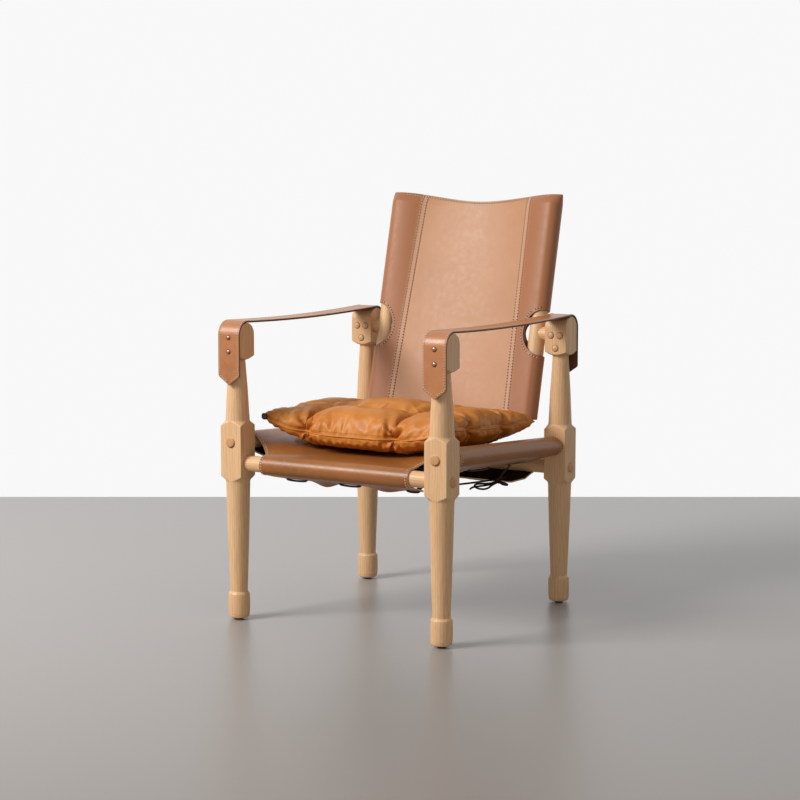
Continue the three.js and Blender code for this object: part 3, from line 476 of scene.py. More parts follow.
def new_object(name, points, faces, materials, slots=None):
    mesh = bpy.data.meshes.new(name)
    mesh.from_pydata([tuple(point) for point in points], [], [tuple(face) for face in faces])
    for material in materials:
        mesh.materials.append(material)
    if slots is not None:
        mesh.polygons.foreach_set("material_index", slots)
    mesh.shade_smooth()
    return linked(name, mesh)


def modifier(piece, kind, **settings):
    made = piece.modifiers.new(kind.lower(), kind)
    for key, value in settings.items():
        setattr(made, key, value)
    return made


def make_plain(piece):
    """Replaces the piece's mesh by its evaluated one and takes the modifiers off."""
    bpy.context.view_layer.update()
    evaluated = piece.evaluated_get(bpy.context.evaluated_depsgraph_get())
    mesh = bpy.data.meshes.new_from_object(evaluated)
    piece.modifiers.clear()
    piece.data = mesh
    return piece


def edit(piece, change):
    bm = bmesh.new()
    bm.from_mesh(piece.data)
    change(bm)
    bm.to_mesh(piece.data)
    bm.free()
    return piece


def crease(piece, degrees=32):
    """Marks the edges sharper than the angle, so that flats stay flat."""
    limit = math.radians(degrees)

    def mark(bm):
        for edge in bm.edges:
            edge.smooth = len(edge.link_faces) != 2 or edge.calc_face_angle(0.0) < limit

    return edit(piece, mark)


def point_outward(piece):
    return edit(piece, lambda bm: bmesh.ops.recalc_face_normals(bm, faces=bm.faces))


def point_array(piece):
    return np.array([tuple(v.co) for v in piece.data.vertices])


def move_points(piece, places):
    piece.data.vertices.foreach_set("co", places.ravel())
    piece.data.update()


def store(piece, name, values, domain="POINT"):
    """Keeps a number for each point or edge as an attribute of the piece."""
    piece.data.attributes.new(name, "FLOAT", domain).data.foreach_set("value", values)


def settle(piece, body, nodes):
    """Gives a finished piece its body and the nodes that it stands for."""
    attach(piece, body)
    if nodes:
        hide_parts(*nodes)
    return piece


def eased(profile, radius=0.0008, steps=3):
    """A profile with its corners rounded, as (radius, height) pairs."""
    points = [Vector((*pair, 0)) for pair in profile]
    made = [points[0]]
    for before, corner, after in zip(points, points[1:], points[2:]):
        reach = min(radius, (corner - before).length * 0.45, (after - corner).length * 0.45)
        start = corner + (before - corner).normalized() * reach
        end = corner + (after - corner).normalized() * reach
        for step in range(steps + 1):
            t = step / steps
            made.append(start.lerp(corner, t).lerp(corner.lerp(end, t), t))
    made.append(points[-1])
    return [(point.x, point.y) for point in made]


def tube_faces(rings, segments):
    """Quads between rings of points, each ring closed on itself, and then the two ends."""
    faces = []
    for r in range(rings - 1):
        for s in range(segments):
            t = (s + 1) % segments
            faces.append((r * segments + s, r * segments + t, (r + 1) * segments + t,
                          (r + 1) * segments + s))
    last = (rings - 1) * segments
    return faces + [tuple(reversed(range(segments))), tuple(range(last, last + segments))]


def turned(name, profile, turn, materials, segments=56, end_slot=0):
    """A turned piece; the profile runs up local Z and starts and ends off the axis, with flat ends."""
    angles = np.arange(segments) * 2 * math.pi / segments
    points = [turn @ Vector((radius * math.cos(angle), radius * math.sin(angle), height))
              for radius, height in profile for angle in angles]
    heights = [height for _, height in profile]
    slots = []
    for ends in zip(heights, heights[1:]):
        near_end = min(ends) - min(heights) < END_GRAIN or max(heights) - max(ends) < END_GRAIN
        slots += [end_slot if near_end else 0] * segments
    slots += [end_slot, end_slot]
    return crease(new_object(name, points, tube_faces(len(profile), segments), materials, slots), 40)


def axis_turn(start, end):
    """Local +Z from start towards end, with its origin at start."""
    along = (Vector(end) - Vector(start)).to_track_quat("Z", "Y").to_matrix().to_4x4()
    return Matrix.Translation(Vector(start)) @ along


def drill(piece, radius, ends, turn, material, segments):
    """Cuts a round hole along the turn's local Z, between two heights."""
    cutter = turned("cutter", [(radius, end) for end in ends], turn, [material], segments)
    modifier(piece, "BOOLEAN", operation="DIFFERENCE", object=cutter, solver="EXACT",
             material_mode="TRANSFER")
    make_plain(piece)
    bpy.data.objects.remove(cutter)


def sheet_faces(rows, columns):
    return [(r * columns + c, r * columns + c + 1, (r + 1) * columns + c + 1, (r + 1) * columns + c)
            for r in range(rows - 1) for c in range(columns - 1)]


# Legs
def leg_profile(heights, block_bottom, block_top, head_bottom):
    """The turned radius at each height."""
    corner = BLANK_HALF * 1.45  # past the blank's corners, so it stays square there
    shaft_mid = (ANKLE_RADIUS + SHAFT_RADIUS) / 2 + SWELL
    neck_mid = (NECK_RADIUS + SHAFT_RADIUS) / 2 + SWELL
    stations = [
        (FOOT_BOTTOM, FOOT_RADIUS - 0.0045),
        (FOOT_BOTTOM + 0.0018, FOOT_RADIUS - 0.0020),
        (FOOT_BOTTOM + 0.0060, FOOT_RADIUS - 0.0009),
        (FOOT_BOTTOM + 0.0068, FOOT_RADIUS - 0.0018),
        (FOOT_BOTTOM + 0.0077, FOOT_RADIUS - 0.0007),
        (FOOT_BOTTOM + 0.0250, FOOT_RADIUS),
        (FOOT_TOP - 0.0100, FOOT_RADIUS - 0.0003),
        (FOOT_TOP - 0.0034, FOOT_RADIUS - 0.0008),
        (FOOT_TOP, FOOT_RADIUS - 0.0030),
        (FOOT_TOP + 0.0008, ANKLE_RADIUS + 0.0003),
        (FOOT_TOP + 0.0016, ANKLE_RADIUS),
        ((FOOT_TOP + block_bottom) / 2, shaft_mid),
        (block_bottom - 0.011, SHAFT_RADIUS),
        (block_bottom - 0.0075, SHAFT_RADIUS + 0.0016),
        (block_bottom + 0.0005, corner),
        (block_top - 0.0005, corner),
        (block_top + 0.0075, SHAFT_RADIUS + 0.0016),
        (block_top + 0.011, SHAFT_RADIUS),
        ((head_bottom + block_top) / 2, neck_mid),
        (head_bottom - 0.009, NECK_RADIUS),
        (head_bottom - 0.0065, BLANK_HALF - 0.001),
        (head_bottom + 0.0005, corner),
        (CREST, corner),
    ]
    return np.interp(heights, [z for z, _ in stations], [r for _, r in stations])


def soft_min(a, b, width):
    """The smaller of the two, rounded over where they are close."""
    h = np.clip(width - np.abs(a - b), 0, None) / width
    return np.minimum(a, b) - h * h * width / 4


def leg_heights(block_bottom, block_top, head_bottom):
    """Close rows where the turning tool left an edge, wide ones along the plain lengths."""
    rows = list(np.arange(FOOT_BOTTOM, FOOT_BOTTOM + 0.009, 0.0006))
    rows += list(np.arange(FOOT_BOTTOM + 0.011, FOOT_TOP - 0.008, 0.004))
    rows += list(np.arange(FOOT_TOP - 0.0075, FOOT_TOP + 0.003, 0.0005))
    for low, high in ((FOOT_TOP, block_bottom), (block_top, head_bottom)):
        rows += list(np.arange(low + 0.020, high - 0.016, 0.007))
    rows += list(np.arange(block_bottom + 0.005, block_top - 0.004, 0.007))
    for edge in (block_bottom, block_top, head_bottom):
        rows += list(np.arange(edge - 0.0135, edge + 0.0140, 0.0009))
    arch = CREST - BLANK_HALF
    rows += list(np.arange(head_bottom + 0.015, arch, 0.006))
    rows += [arch + BLANK_HALF * math.sin(math.radians(a)) for a in range(0, 87, 3)]
    return np.unique(np.round(sorted(rows), 6))


def leg_angles():
    """Close columns at the square's corners."""
    wide = [*range(0, 31, 5)]
    close = [34, 37, 40, 42, 43.5, 45, 46.5, 48, 50, 53, 56]
    quadrant = wide + close + [*range(60, 86, 5)]
    return np.radians([angle + 90 * quarter for quarter in range(4) for angle in quadrant])


def add_leg(name, x, y, sizes, material, hole_shade_material):
    """A square blank with its turned lengths, its rounded crest and two tenon holes."""
    heights = leg_heights(**sizes)
    angles = leg_angles()
    radius = leg_profile(heights, **sizes)[:, None] * np.ones(len(angles))
    side = BLANK_HALF / np.maximum(np.abs(np.cos(angles)), 1e-6)
    rise = np.clip(heights - (CREST - BLANK_HALF), 0, BLANK_HALF)
    depth = np.sqrt(BLANK_HALF ** 2 - rise ** 2)[:, None]
    front = depth / np.maximum(np.abs(np.sin(angles)), 1e-6)
    square = soft_min(np.broadcast_to(side, front.shape), front, EASED)
    rho = soft_min(radius, square, TURNED_EDGE)
    points = np.stack([
        x + rho * np.cos(angles),
        y + rho * np.sin(angles),
        np.broadcast_to(heights[:, None], rho.shape),
    ], 2).reshape(-1, 3)
    faces = tube_faces(len(heights), len(angles))
    leg = new_object(f"{name}_ash", points, faces, [material, hole_shade_material])
    side_z = SIDE_RAIL_FRONT_Z if y < MID_Y else SIDE_RAIL_REAR_Z
    cross_z = FRONT_RAIL_Z if y < MID_Y else REAR_RAIL_Z
    bore = TENON_RADIUS + TENON_CLEARANCE
    for centre, along in ((Vector((x, y, side_z)), Vector((0, 1, 0))),
                          (Vector((x, y, cross_z)), Vector((1, 0, 0)))):
        reach = along * BLANK_HALF * 1.5
        place = axis_turn(centre - reach, centre + reach)
        drill(leg, bore, (0, BLANK_HALF * 3), place, hole_shade_material, 48)
    crease(leg, 50)
    settle(leg, "frame", [name])


def add_legs():
    """Each leg is cut from another place in the plank, so that no two show the same grain."""
    # The walls of the tenon holes are darkened wood: painted shade in the gap round each tenon
    hole = ash("tenon_hole_shade", (0.05, 0.02, 0), darker=0.9)
    count = 0
    for end, y, sizes in (("front", FRONT_Y, FRONT_LEG), ("rear", REAR_Y, REAR_LEG)):
        for side, sign in SIDES:
            name = f"{end}_{side}_leg"
            pith = (0.075 - sign * LEG_X + 0.012 * count, 0.055 - y - 0.009 * count, 0.31 * count)
            add_leg(name, sign * LEG_X, y, sizes, ash(f"ash_{name}", pith), hole)
            count += 1


def add_glides(material):
    profile = eased([
        (GLIDE_RADIUS - 0.0015, 0.0),
        (GLIDE_RADIUS, 0.0009),
        (GLIDE_RADIUS, FOOT_BOTTOM - FIT),
    ], 0.0004)
    for end, y in (("front", FRONT_Y), ("rear", REAR_Y)):
        for side, sign in SIDES:
            name = f"{end}_{side}_glide"
            turn = Matrix.Translation((sign * LEG_X, y, 0))
            glide = turned(f"{name}_nylon", profile, turn, [material], 40)
            settle(glide, "frame", [name])


def rail_profile(length, shoulder):
    """A rail with a tenon at each end that stands proud of the leg, slightly domed."""
    inward, along = TENON_CHAMFER
    half = [
        (RAIL_RADIUS, shoulder - length / 2),
        (TENON_RADIUS, shoulder - length / 2),
        (TENON_RADIUS, along - length / 2),
        (TENON_RADIUS - inward, -length / 2),
        (TENON_RADIUS * 0.5, -length / 2 - TENON_DOME),
    ]
    mirrored = [(radius, -height) for radius, height in half]
    return eased(list(reversed(half)) + mirrored, 0.0006)


def add_rail(name, length, turn, material, end_grain):
    shoulder = TENON_END_X - (LEG_X - BLANK_HALF - FIT)
    rail = turned(f"{name}_ash", rail_profile(length, shoulder), turn, [material, end_grain],
                  end_slot=1)
    settle(rail, "frame", [name])


def add_rails(end_grain):
    """The front and rear rails lie level, the side rails fall towards the rear."""
    lying = math.radians(90)
    for name, y, z, shift in (("front_rail", FRONT_Y, FRONT_RAIL_Z, 0.03),
                              ("rear_rail", REAR_Y, REAR_RAIL_Z, 0.05)):
        material = ash(f"ash_{name}", (z + 0.06, -y + shift, 0.2), (0, lying, 0), RAIL_RING)
        turn = Matrix.Translation((0, y, z)) @ Matrix.Rotation(lying, 4, "Y")
        add_rail(name, 2 * TENON_END_X, turn, material, end_grain)
    for side, sign in SIDES:
        name = f"{side}_side_rail"
        start = Vector((sign * LEG_X, FRONT_Y, SIDE_RAIL_FRONT_Z))
        end = Vector((sign * LEG_X, REAR_Y, SIDE_RAIL_REAR_Z))
        reach = (end - start).normalized() * (TENON_END_X - LEG_X)
        length = (end - start + 2 * reach).length
        turn = axis_turn(start - reach, end + reach) @ Matrix.Translation((0, 0, length / 2))
        material = ash(f"ash_{name}", (0.05, 0.07, 0.1), (lying, 0, 0), RAIL_RING)
        add_rail(name, length, turn, material, end_grain)


def add_posts():
    """The posts of the back, recessed and bored for their bolts, with their spacers."""
    profile = eased([
        (POST_RADIUS * 0.4, POST_LOW - 0.0002),
        (POST_RADIUS - POST_CHAMFER, POST_LOW),
        (POST_RADIUS, POST_LOW + POST_CHAMFER),
        (POST_RADIUS, POST_HIGH - POST_CHAMFER),
        (POST_RADIUS - POST_CHAMFER, POST_HIGH),
        (POST_RADIUS * 0.4, POST_HIGH + 0.0002),
    ], 0.0012)
    for side, sign in SIDES:
        name = f"{side}_back_post"
        material = ash(f"ash_{name}", (0.06 - sign * POST_X, 0.05, 0.3), (TILT, 0, 0), 0.0048)
        turn = BACK_TURN @ Matrix.Translation((sign * POST_X, 0, 0))
        post = turned(f"{name}_ash", profile, turn, [material])
        across = BACK_TURN @ axis_turn((sign * POST_X, 0, 0), (sign, 0, 0))
        drill(post, BOLT_HEAD_RADIUS + FIT, (BORE_ENDS[0], -BOLT_SEAT), across, material, 40)
        drill(post, BOLT_RADIUS + FIT, BORE_ENDS, across, material, 32)
        crease(post, 40)
        settle(post, "back", [name])
        add_spacer(f"{side}_pivot_spacer", sign, across)


def add_spacer(name, sign, across):
    """A short drum between post and leg, hollowed to sit on the round post."""
    face = LEG_X - BLANK_HALF - FIT - POST_X
    material = ash(f"ash_{name}", (0.05, 0.06, 0.1), (0, math.radians(90), 0), 0.004)
    profile = eased([(SPACER_RADIUS, SPACER_START), (SPACER_RADIUS, face)], 0.0008)
    drum = turned(f"{name}_ash", profile, across, [material], 48)
    turn = BACK_TURN @ Matrix.Translation((sign * POST_X, 0, 0))
    drill(drum, POST_RADIUS + FIT, HOLLOW_ENDS, turn, material, 64)
    drill(drum, BOLT_RADIUS + FIT, BORE_ENDS, across, material, 32)
    crease(drum, 40)
    settle(drum, "back", [name])


def add_bolts(steel):
    """A socket head bolt on each side, its head in the post's recess."""
    low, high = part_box("right_pivot_bolt")
    for side, sign in SIDES:
        name = f"{side}_pivot_bolt"
        profile = eased([
            (SOCKET_RADIUS, SOCKET_DEPTH),
            (SOCKET_RADIUS + 0.0002, 0.0004),
            (BOLT_HEAD_RADIUS - 0.0008, 0.0),
            (BOLT_HEAD_RADIUS, 0.0010),
            (BOLT_HEAD_RADIUS, BOLT_HEAD_HEIGHT),
            (BOLT_RADIUS, BOLT_HEAD_HEIGHT),
            (BOLT_RADIUS, high.x - low.x),
        ], 0.0004)
        turn = axis_turn((sign * low.x, PIVOT.y, PIVOT.z), (sign * high.x, PIVOT.y, PIVOT.z))
        settle(turned(f"{name}_steel", profile, turn, [steel], 40), "frame", [name])


# Straps
def strap_stations(offset):
    """The strap's line from the front tip over both heads to the rear tip, as (y, z, outward y, z)."""
    radius = BLANK_HALF + FIT + offset
    centre_z = CREST - BLANK_HALF
    drop = centre_z - STRAP_TIP_Z
    top = CREST + FIT + offset
    stations = []

    def bend(y, start):
        for i in range(STRAP_BEND_STEPS + 1):
            angle = start - math.pi / 2 * i / STRAP_BEND_STEPS
            stations.append((y + radius * math.cos(angle), centre_z + radius * math.sin(angle),
                             math.cos(angle), math.sin(angle)))

    for i in range(STRAP_TAIL_STEPS):
        stations.append((FRONT_Y - radius, STRAP_TIP_Z + drop * i / STRAP_TAIL_STEPS, -1, 0))
    bend(FRONT_Y, math.pi)
    for i in range(1, STRAP_SPAN_STEPS):
        along = 2 * i / STRAP_SPAN_STEPS - 1
        stations.append((MID_Y + LEG_Y * along, top - STRAP_SAG * (1 - along * along), 0, 1))
    bend(REAR_Y, math.pi / 2)
    for i in range(1, STRAP_TAIL_STEPS + 1):
        stations.append((REAR_Y + radius, centre_z - drop * i / STRAP_TAIL_STEPS, 1, 0))
    return stations


def strap_half_width(z, is_tail):
    """Half the strap's width; its hanging ends narrow to a point."""
    if not is_tail or z >= STRAP_CORNER_Z:
        return STRAP_WIDTH / 2
    return STRAP_WIDTH / 2 * (z - STRAP_TIP_Z) / (STRAP_CORNER_Z - STRAP_TIP_Z)


def strap_section(half_width):
    """The strap's eased section as (across, outward) and the slot of the face after each point."""
    half = STRAP_LEATHER / 2
    ease = min(STRAP_EASE, half_width * 0.6)
    face = half_width - ease
    section = [(face * t, half, GRAIN_SIDE) for t in np.linspace(-1, 1, 9)[:-1]]
    corners = ((1, 1, RIM, EDGE), (1, -1, EDGE, FLESH_SIDE), (-1, -1, EDGE, EDGE), (-1, 1, RIM, RIM))
    steps = 3
    for side, outward, round_slot, next_slot in corners:
        for step in range(steps + 1):
            turn = math.pi / 2 * step / steps
            turn = turn if side == outward else math.pi / 2 - turn
            section.append((side * (face + ease * math.sin(turn)),
                            outward * (half - ease + ease * math.cos(turn)),
                            round_slot if step < steps else next_slot))
        if next_slot == FLESH_SIDE:
            section += [(face * t, -half, FLESH_SIDE) for t in np.linspace(1, -1, 9)[1:-1]]
    return section[:-1]


def add_strap(side, sign, leathers):
    """A band of eased section, swept over both heads, with a point at each end."""
    stations = strap_stations(STRAP_LEATHER / 2)
    around = [slot for _, _, slot in strap_section(STRAP_WIDTH / 2)]
    points = []
    for y, z, out_y, out_z in stations:
        width = max(strap_half_width(z, out_y != 0), STRAP_TIP_HALF)
        for across, outward, _ in strap_section(width):
            points.append((sign * LEG_X + across, y + out_y * outward, z + out_z * outward))
    faces = tube_faces(len(stations), len(around))
    slots = around * (len(stations) - 1) + [EDGE, EDGE]
    strap = point_outward(new_object(f"{side}_arm_strap_leather", points, faces, leathers, slots))
    crease(strap, 60)
    settle(strap, "frame", [f"{side}_arm_strap"])


# Back leather
def clamp(share):
    return min(max(share, 0), 1)


def up_the_back(h, low, high):
    """A measure that changes evenly from the bottom of the back to its top."""
    return float(np.interp(h, [BACK_LOW, BACK_HIGH], [low, high]))


def back_seam(h):
    return up_the_back(h, SEAM_LOW_X, SEAM_HIGH_X)


def back_squash(h):
    """The pockets close over the last stretch below the top edge."""
    open_share = clamp((BACK_HIGH - h) / BACK_FLAT)
    closed = BACK_LEATHER * 0.55 / POCKET_RADIUS
    return closed + (1 - closed) * math.sqrt(open_share)


def seam_relief(away):
    """The band between a seam's two rows stands a little forward, and the rows are drawn in."""
    band = SEAM_BAND * clamp((SEAM_HALF + SEAM_SHOULDER - abs(away)) / SEAM_SHOULDER)
    drawn = ROW_DEPTH * math.exp(-((abs(away) - SEAM_HALF) / ROW_WIDTH) ** 2)
    return drawn - band


def back_panel(x, h):
    """Depth of the middle of the front layer at x."""
    tube = -POCKET_RADIUS * back_squash(h)
    centre = up_the_back(h, BACK_CENTRE_LOW, BACK_CENTRE_HIGH) + BACK_LEATHER / 2
    seam = back_seam(h)
    away = abs(x) - seam
    inner = min(abs(x), seam)
    depth = (centre - tube) * (1 - (inner / POST_X) ** 2)
    left_over = 1 - clamp(away / (POST_X - seam))
    return tube + depth * left_over ** BACK_POCKET + seam_relief(away)


def seam_columns(seam):
    """Columns close together at a seam's two rows, as distances from the back's middle."""
    outward = [0.0030, 0.0041, SEAM_HALF, 0.0054, 0.0060, 0.0072, 0.012]
    inward = [-away for away in reversed(outward)]
    return [seam + away for away in (*inward, 0, *outward)]


def back_line(h):
    """The middle of the leather at one height, from the left return's edge round both posts."""
    squash = back_squash(h)
    seam = back_seam(h)
    columns = [*np.linspace(0, seam - 0.020, 12), *seam_columns(seam),
               *np.linspace(seam + 0.0145, POST_X - 0.0015, 13)]
    half = [(x, back_panel(x, h)) for x in columns]
    steps = 32
    for i in range(steps + 1):
        angle = POCKET_START + POCKET_SWEEP * i / steps
        half.append((POST_X + POCKET_RADIUS * math.cos(angle),
                     POCKET_RADIUS * squash * math.sin(angle)))
    for x in np.linspace(RETURN_X, seam - RETURN_PAST_SEAM, 16):
        half.append((x, back_panel(x, h) + BACK_LEATHER * RETURN_STEP))
    left = [(-x, y) for x, y in reversed(half)]
    return left + half[1:]


def back_rise(x, h):
    """Lowers the top edge towards the middle."""
    level_x = POST_X + 0.010
    dip = BACK_DIP * 0.5 * (1 + math.cos(math.pi * min(1, abs(x) / level_x)))
    start = BACK_HIGH - BACK_DIP_REACH
    return h - dip * clamp((h - start) / (BACK_HIGH - start))


def add_back(leathers):
    """The sheet with its thickness, the arm holes and the attributes for its painted tints: painted
    shade on the strips beside the posts and a painted highlight on the band between each seam's rows.
    """
    heights = [*np.linspace(BACK_LOW, BACK_HIGH - 0.030, 66),
               *np.linspace(BACK_HIGH - 0.0275, BACK_HIGH, 14)]
    points = [BACK_TURN @ Vector((x, y, back_rise(x, h))) for h in heights for x, y in back_line(h)]
    columns = len(points) // len(heights)
    back = new_object("back_sling_leather", points, sheet_faces(len(heights), columns), leathers)
    modifier(back, "SOLIDIFY", thickness=BACK_LEATHER, offset=0, use_even_offset=False,
             material_offset_rim=1)
    make_plain(back)
    point_outward(back)
    for _, sign in SIDES:
        ends = [BACK_TURN @ Vector((sign * ARM_HOLE_X, depth, 0))
                for depth in (-ARM_HOLE_REACH, ARM_HOLE_REACH)]
        drill(back, ARM_HOLE_RADIUS, (0, 2 * ARM_HOLE_REACH), axis_turn(*ends), leathers[1], 128)
    crease(back, 50)
    local = BACK_TURN.inverted()
    # Painted shade: the strips between each seam and its post are tinted darker
    strip_shades = []
    bands = []
    for vertex in back.data.vertices:
        point = local @ vertex.co
        away = abs(point.x) - back_seam(point.z)
        strip_shades.append(clamp((away - SEAM_HALF) / STRIP_SHADE_FADE))
        # Painted highlight: the band between a seam's two rows is tinted lighter
        bands.append(1.0 if abs(away) < SEAM_HALF - 0.0004 and point.y < 0.03 else 0.0)
    store(back, "strip_shade", strip_shades)
    store(back, "band", bands)
    settle(back, "back", ["back_sling"])


# Seat leather
def cut_curve(share, roundness):
    """The share of a cut-out's half width that is left at a share of its length, or the reverse."""
    return max(0.0, 1 - share ** roundness) ** (1 / roundness)


SEAT_END_Y = LEG_Y - SEAT_WRAP * math.sin(CROSS_TOUCH)
SEAT_SIDE_X = LEG_X - SEAT_WRAP * math.sin(SIDE_TOUCH)
SIDE_SHARE = (LEG_X - SEAT_SIDE_X) / CUT_X
FRONT_SLEEVE_Y = -LEG_Y + FRONT_CUT[0] * cut_curve(SIDE_SHARE, FRONT_CUT[1])
REAR_SLEEVE_Y = LEG_Y - REAR_CUT[0] * cut_curve(SIDE_SHARE, REAR_CUT[1])


def side_rail_z(y):
    drop = (SIDE_RAIL_REAR_Z - SIDE_RAIL_FRONT_Z) * y / (2 * LEG_Y)
    return (SIDE_RAIL_FRONT_Z + SIDE_RAIL_REAR_Z) / 2 + drop


def seat_z(x, y):
    """Height of the middle of the seat's leather."""
    along = y / SEAT_END_Y
    middle_z = FRONT_RAIL_Z + (REAR_RAIL_Z - FRONT_RAIL_Z) * (along + 1) / 2
    middle_z += SEAT_WRAP * math.cos(CROSS_TOUCH) + SEAT_RISE * (1 - along * along)
    side = side_rail_z(y) + SEAT_WRAP * math.cos(SIDE_TOUCH)
    flat = SEAT_FLAT * np.minimum(np.abs(along), 1) ** 3
    rise = np.clip((np.abs(x) / SEAT_SIDE_X - flat) / (1 - flat), 0, 1)
    return middle_z + (side - middle_z) * rise ** 2


def seat_half_width(y):
    """Half the seat's width between its side rails or its cut-outs."""
    length, roundness = FRONT_CUT if y < 0 else REAR_CUT
    along = min(1, (LEG_Y - abs(y)) / length)
    return min(SEAT_SIDE_X, LEG_X - CUT_X * cut_curve(along, roundness))


def flap_sag(position, sags):
    """How far a flap's edge hangs at a position between two holes that no lace joins under it."""
    depth = 0.0
    for start, end, most in sags:
        if start < position < end:
            depth = most * math.sin(math.pi * (position - start) / (end - start)) ** 2
    return depth


def front_flap_z(run):
    return FRONT_RAIL_Z - SEAT_WRAP - FRONT_FLAP_DROP * run / END_FLAP


def rear_flap_z(run):
    return REAR_RAIL_Z - SEAT_WRAP - REAR_FLAP_DROP * run / END_FLAP


def side_flap_z(run, y):
    return side_rail_z(y) - SEAT_WRAP - SIDE_FLAP_DROP * run / SIDE_FLAP


def wrap_turns(touch, steps=18):
    """Points round a rail past the line where the seat meets it, as (outward, up) from its axis."""
    turns = []
    for i in range(1, steps + 1):
        angle = -touch + (math.pi + touch) * i / steps
        turns.append((SEAT_WRAP * math.sin(angle), SEAT_WRAP * math.cos(angle)))
    return turns


def side_strip(sign, y):
    """The wrap round a side rail and the flap under it, at one y."""
    points = [(sign * (LEG_X + out), y, side_rail_z(y) + up) for out, up in wrap_turns(SIDE_TOUCH)]
    sag = flap_sag(y, SIDE_SAGS[sign])
    for i in range(1, FLAP_STEPS + 1):
        run = SIDE_FLAP * i / FLAP_STEPS
        points.append((sign * (LEG_X - run), y, side_flap_z(run, y) - sag * (i / FLAP_STEPS) ** 2))
    return points


def end_strip(end, x):
    """The wrap round the front (-1) or rear (1) rail and the flap under it, at one x."""
    rail_z = FRONT_RAIL_Z if end < 0 else REAR_RAIL_Z
    flap_z = front_flap_z if end < 0 else rear_flap_z
    points = [(x, end * (LEG_Y + out), rail_z + up) for out, up in wrap_turns(CROSS_TOUCH)]
    sag = flap_sag(x, FRONT_SAGS if end < 0 else REAR_SAGS)
    last_hole = (LONG_LACE_END_X if x > 0 and end < 0 else -LONG_LACE_X[0]) + HOLE_MARGIN
    outer = max(0.0, (abs(x) - last_hole) / (seat_half_width(SEAT_END_Y) - last_hole))
    width = END_FLAP * (1 - (1 - FLAP_END) * outer)
    for i in range(1, FLAP_STEPS + 1):
        share = i / FLAP_STEPS
        points.append((x, end * (LEG_Y - width * share), flap_z(width * share) - sag * share ** 3))
    return points


def cut_shares(length, roundness):
    """Shares of a cut-out's length from the sleeve to the rail, close together at the sleeve."""
    far = cut_curve(SIDE_SHARE, roundness)
    near = (LEG_Y - SEAT_END_Y) / length
    return [far + (near - far) * t ** 2 for t in np.linspace(0, 1, 24)]


def add_seat(leathers):
    """Quads over the sheet, with the corners left out and the flaps joined on along the sleeves."""
    front_rows = [-LEG_Y + FRONT_CUT[0] * share for share in reversed(cut_shares(*FRONT_CUT))]
    rear_rows = [LEG_Y - REAR_CUT[0] * share for share in cut_shares(*REAR_CUT)]
    rows = front_rows + list(np.linspace(FRONT_SLEEVE_Y, REAR_SLEEVE_Y, 62))[1:-1] + rear_rows
    shares = np.linspace(-1, 1, 73)
    ids = {}
    places = []

    def vertex(point):
        key = tuple(round(float(v), 6) for v in point)
        if key not in ids:
            ids[key] = len(places)
            places.append(point)
        return ids[key]

    faces = []

    def weave(net, flip=False):
        for upper, lower in zip(net, net[1:]):
            for a, b, c, d in zip(upper, upper[1:], lower[1:], lower):
                faces.append((a, d, c, b) if flip else (a, b, c, d))

    grid = []
    for y in rows:
        width = seat_half_width(y)
        grid.append([vertex((s * width, y, float(seat_z(s * width, y)))) for s in shares])
    weave(grid)
    for sign, column in ((-1, 0), (1, -1)):
        net = []
        for y, row in zip(rows, grid):
            if FRONT_SLEEVE_Y - 1e-9 <= y <= REAR_SLEEVE_Y + 1e-9:
                net.append([row[column]] + [vertex(p) for p in side_strip(sign, y)])
        weave(net, flip=sign < 0)
    for end, row in ((-1, grid[0]), (1, grid[-1])):
        net = [[start] + [vertex(p) for p in end_strip(end, places[start][0])] for start in row]
        weave(net, flip=end > 0)
    placed = [(x, y + MID_Y, z) for x, y, z in places]
    seat = new_object("seat_sling_leather", placed, faces, leathers)
    modifier(seat, "SOLIDIFY", thickness=SEAT_LEATHER, offset=0, use_even_offset=True,
             material_offset=1, material_offset_rim=2)
    make_plain(seat)
    point_outward(seat)
    for place in lace_holes():
        centre = Vector(place) + Vector((0, MID_Y, 0))
        turn = axis_turn(centre - PUNCH_HALF, centre + PUNCH_HALF)
        drill(seat, PUNCH_RADIUS, (0, 2 * PUNCH_HALF.z), turn, leathers[1], 20)
    crease(seat, 50)
    settle(seat, "frame", ["seat_sling"])


# Laces
def long_holes(x):
    """A hole in the rear flap and the one in front of it."""
    run = END_FLAP - LACE_INSET
    return [(x, LEG_Y - run, rear_flap_z(run)), (x, -LEG_Y + run, front_flap_z(run))]


def cross_holes(y):
    """A hole in the right flap and the one across from it."""
    run = SIDE_FLAP - LACE_INSET
    return [(sign * (LEG_X - run), y, side_flap_z(run, y)) for sign in (1, -1)]


def lace_holes():
    pairs = [long_holes(x) for x in LONG_LACE_X] + [cross_holes(y) for y in CROSS_LACE_Y]
    return [hole for pair in pairs for hole in pair] + [long_holes(LONG_LACE_END_X)[1]]


def lace_route(pairs, advance):
    """Over the flaps from hole to hole, down, along underneath and up through the next."""
    up = Vector((0, 0, 1))
    points = []
    for i, pair in enumerate(pairs):
        start, end = [Vector(p) for p in (reversed(pair) if i % 2 else pair)]
        across = Vector((end.x - start.x, end.y - start.y, 0)).normalized()
        points.append(start - advance * LACE_BEND - up * LACE_LIFT)
        points.append(start - up * LACE_RADIUS)
        points.append(start + up * LACE_RADIUS)
        points.append(start + across * LACE_BEND + up * LACE_LIFT)
        for t in (0.2, 0.5, 0.8):
            points.append(start.lerp(end, t) + up * (LACE_LIFT - LACE_SAG * 4 * t * (1 - t)))
        points.append(end - across * LACE_BEND + up * LACE_LIFT)
        points.append(end + up * LACE_RADIUS)
        points.append(end - up * LACE_RADIUS)
        points.append(end + advance * LACE_BEND - up * LACE_LIFT)
    return points


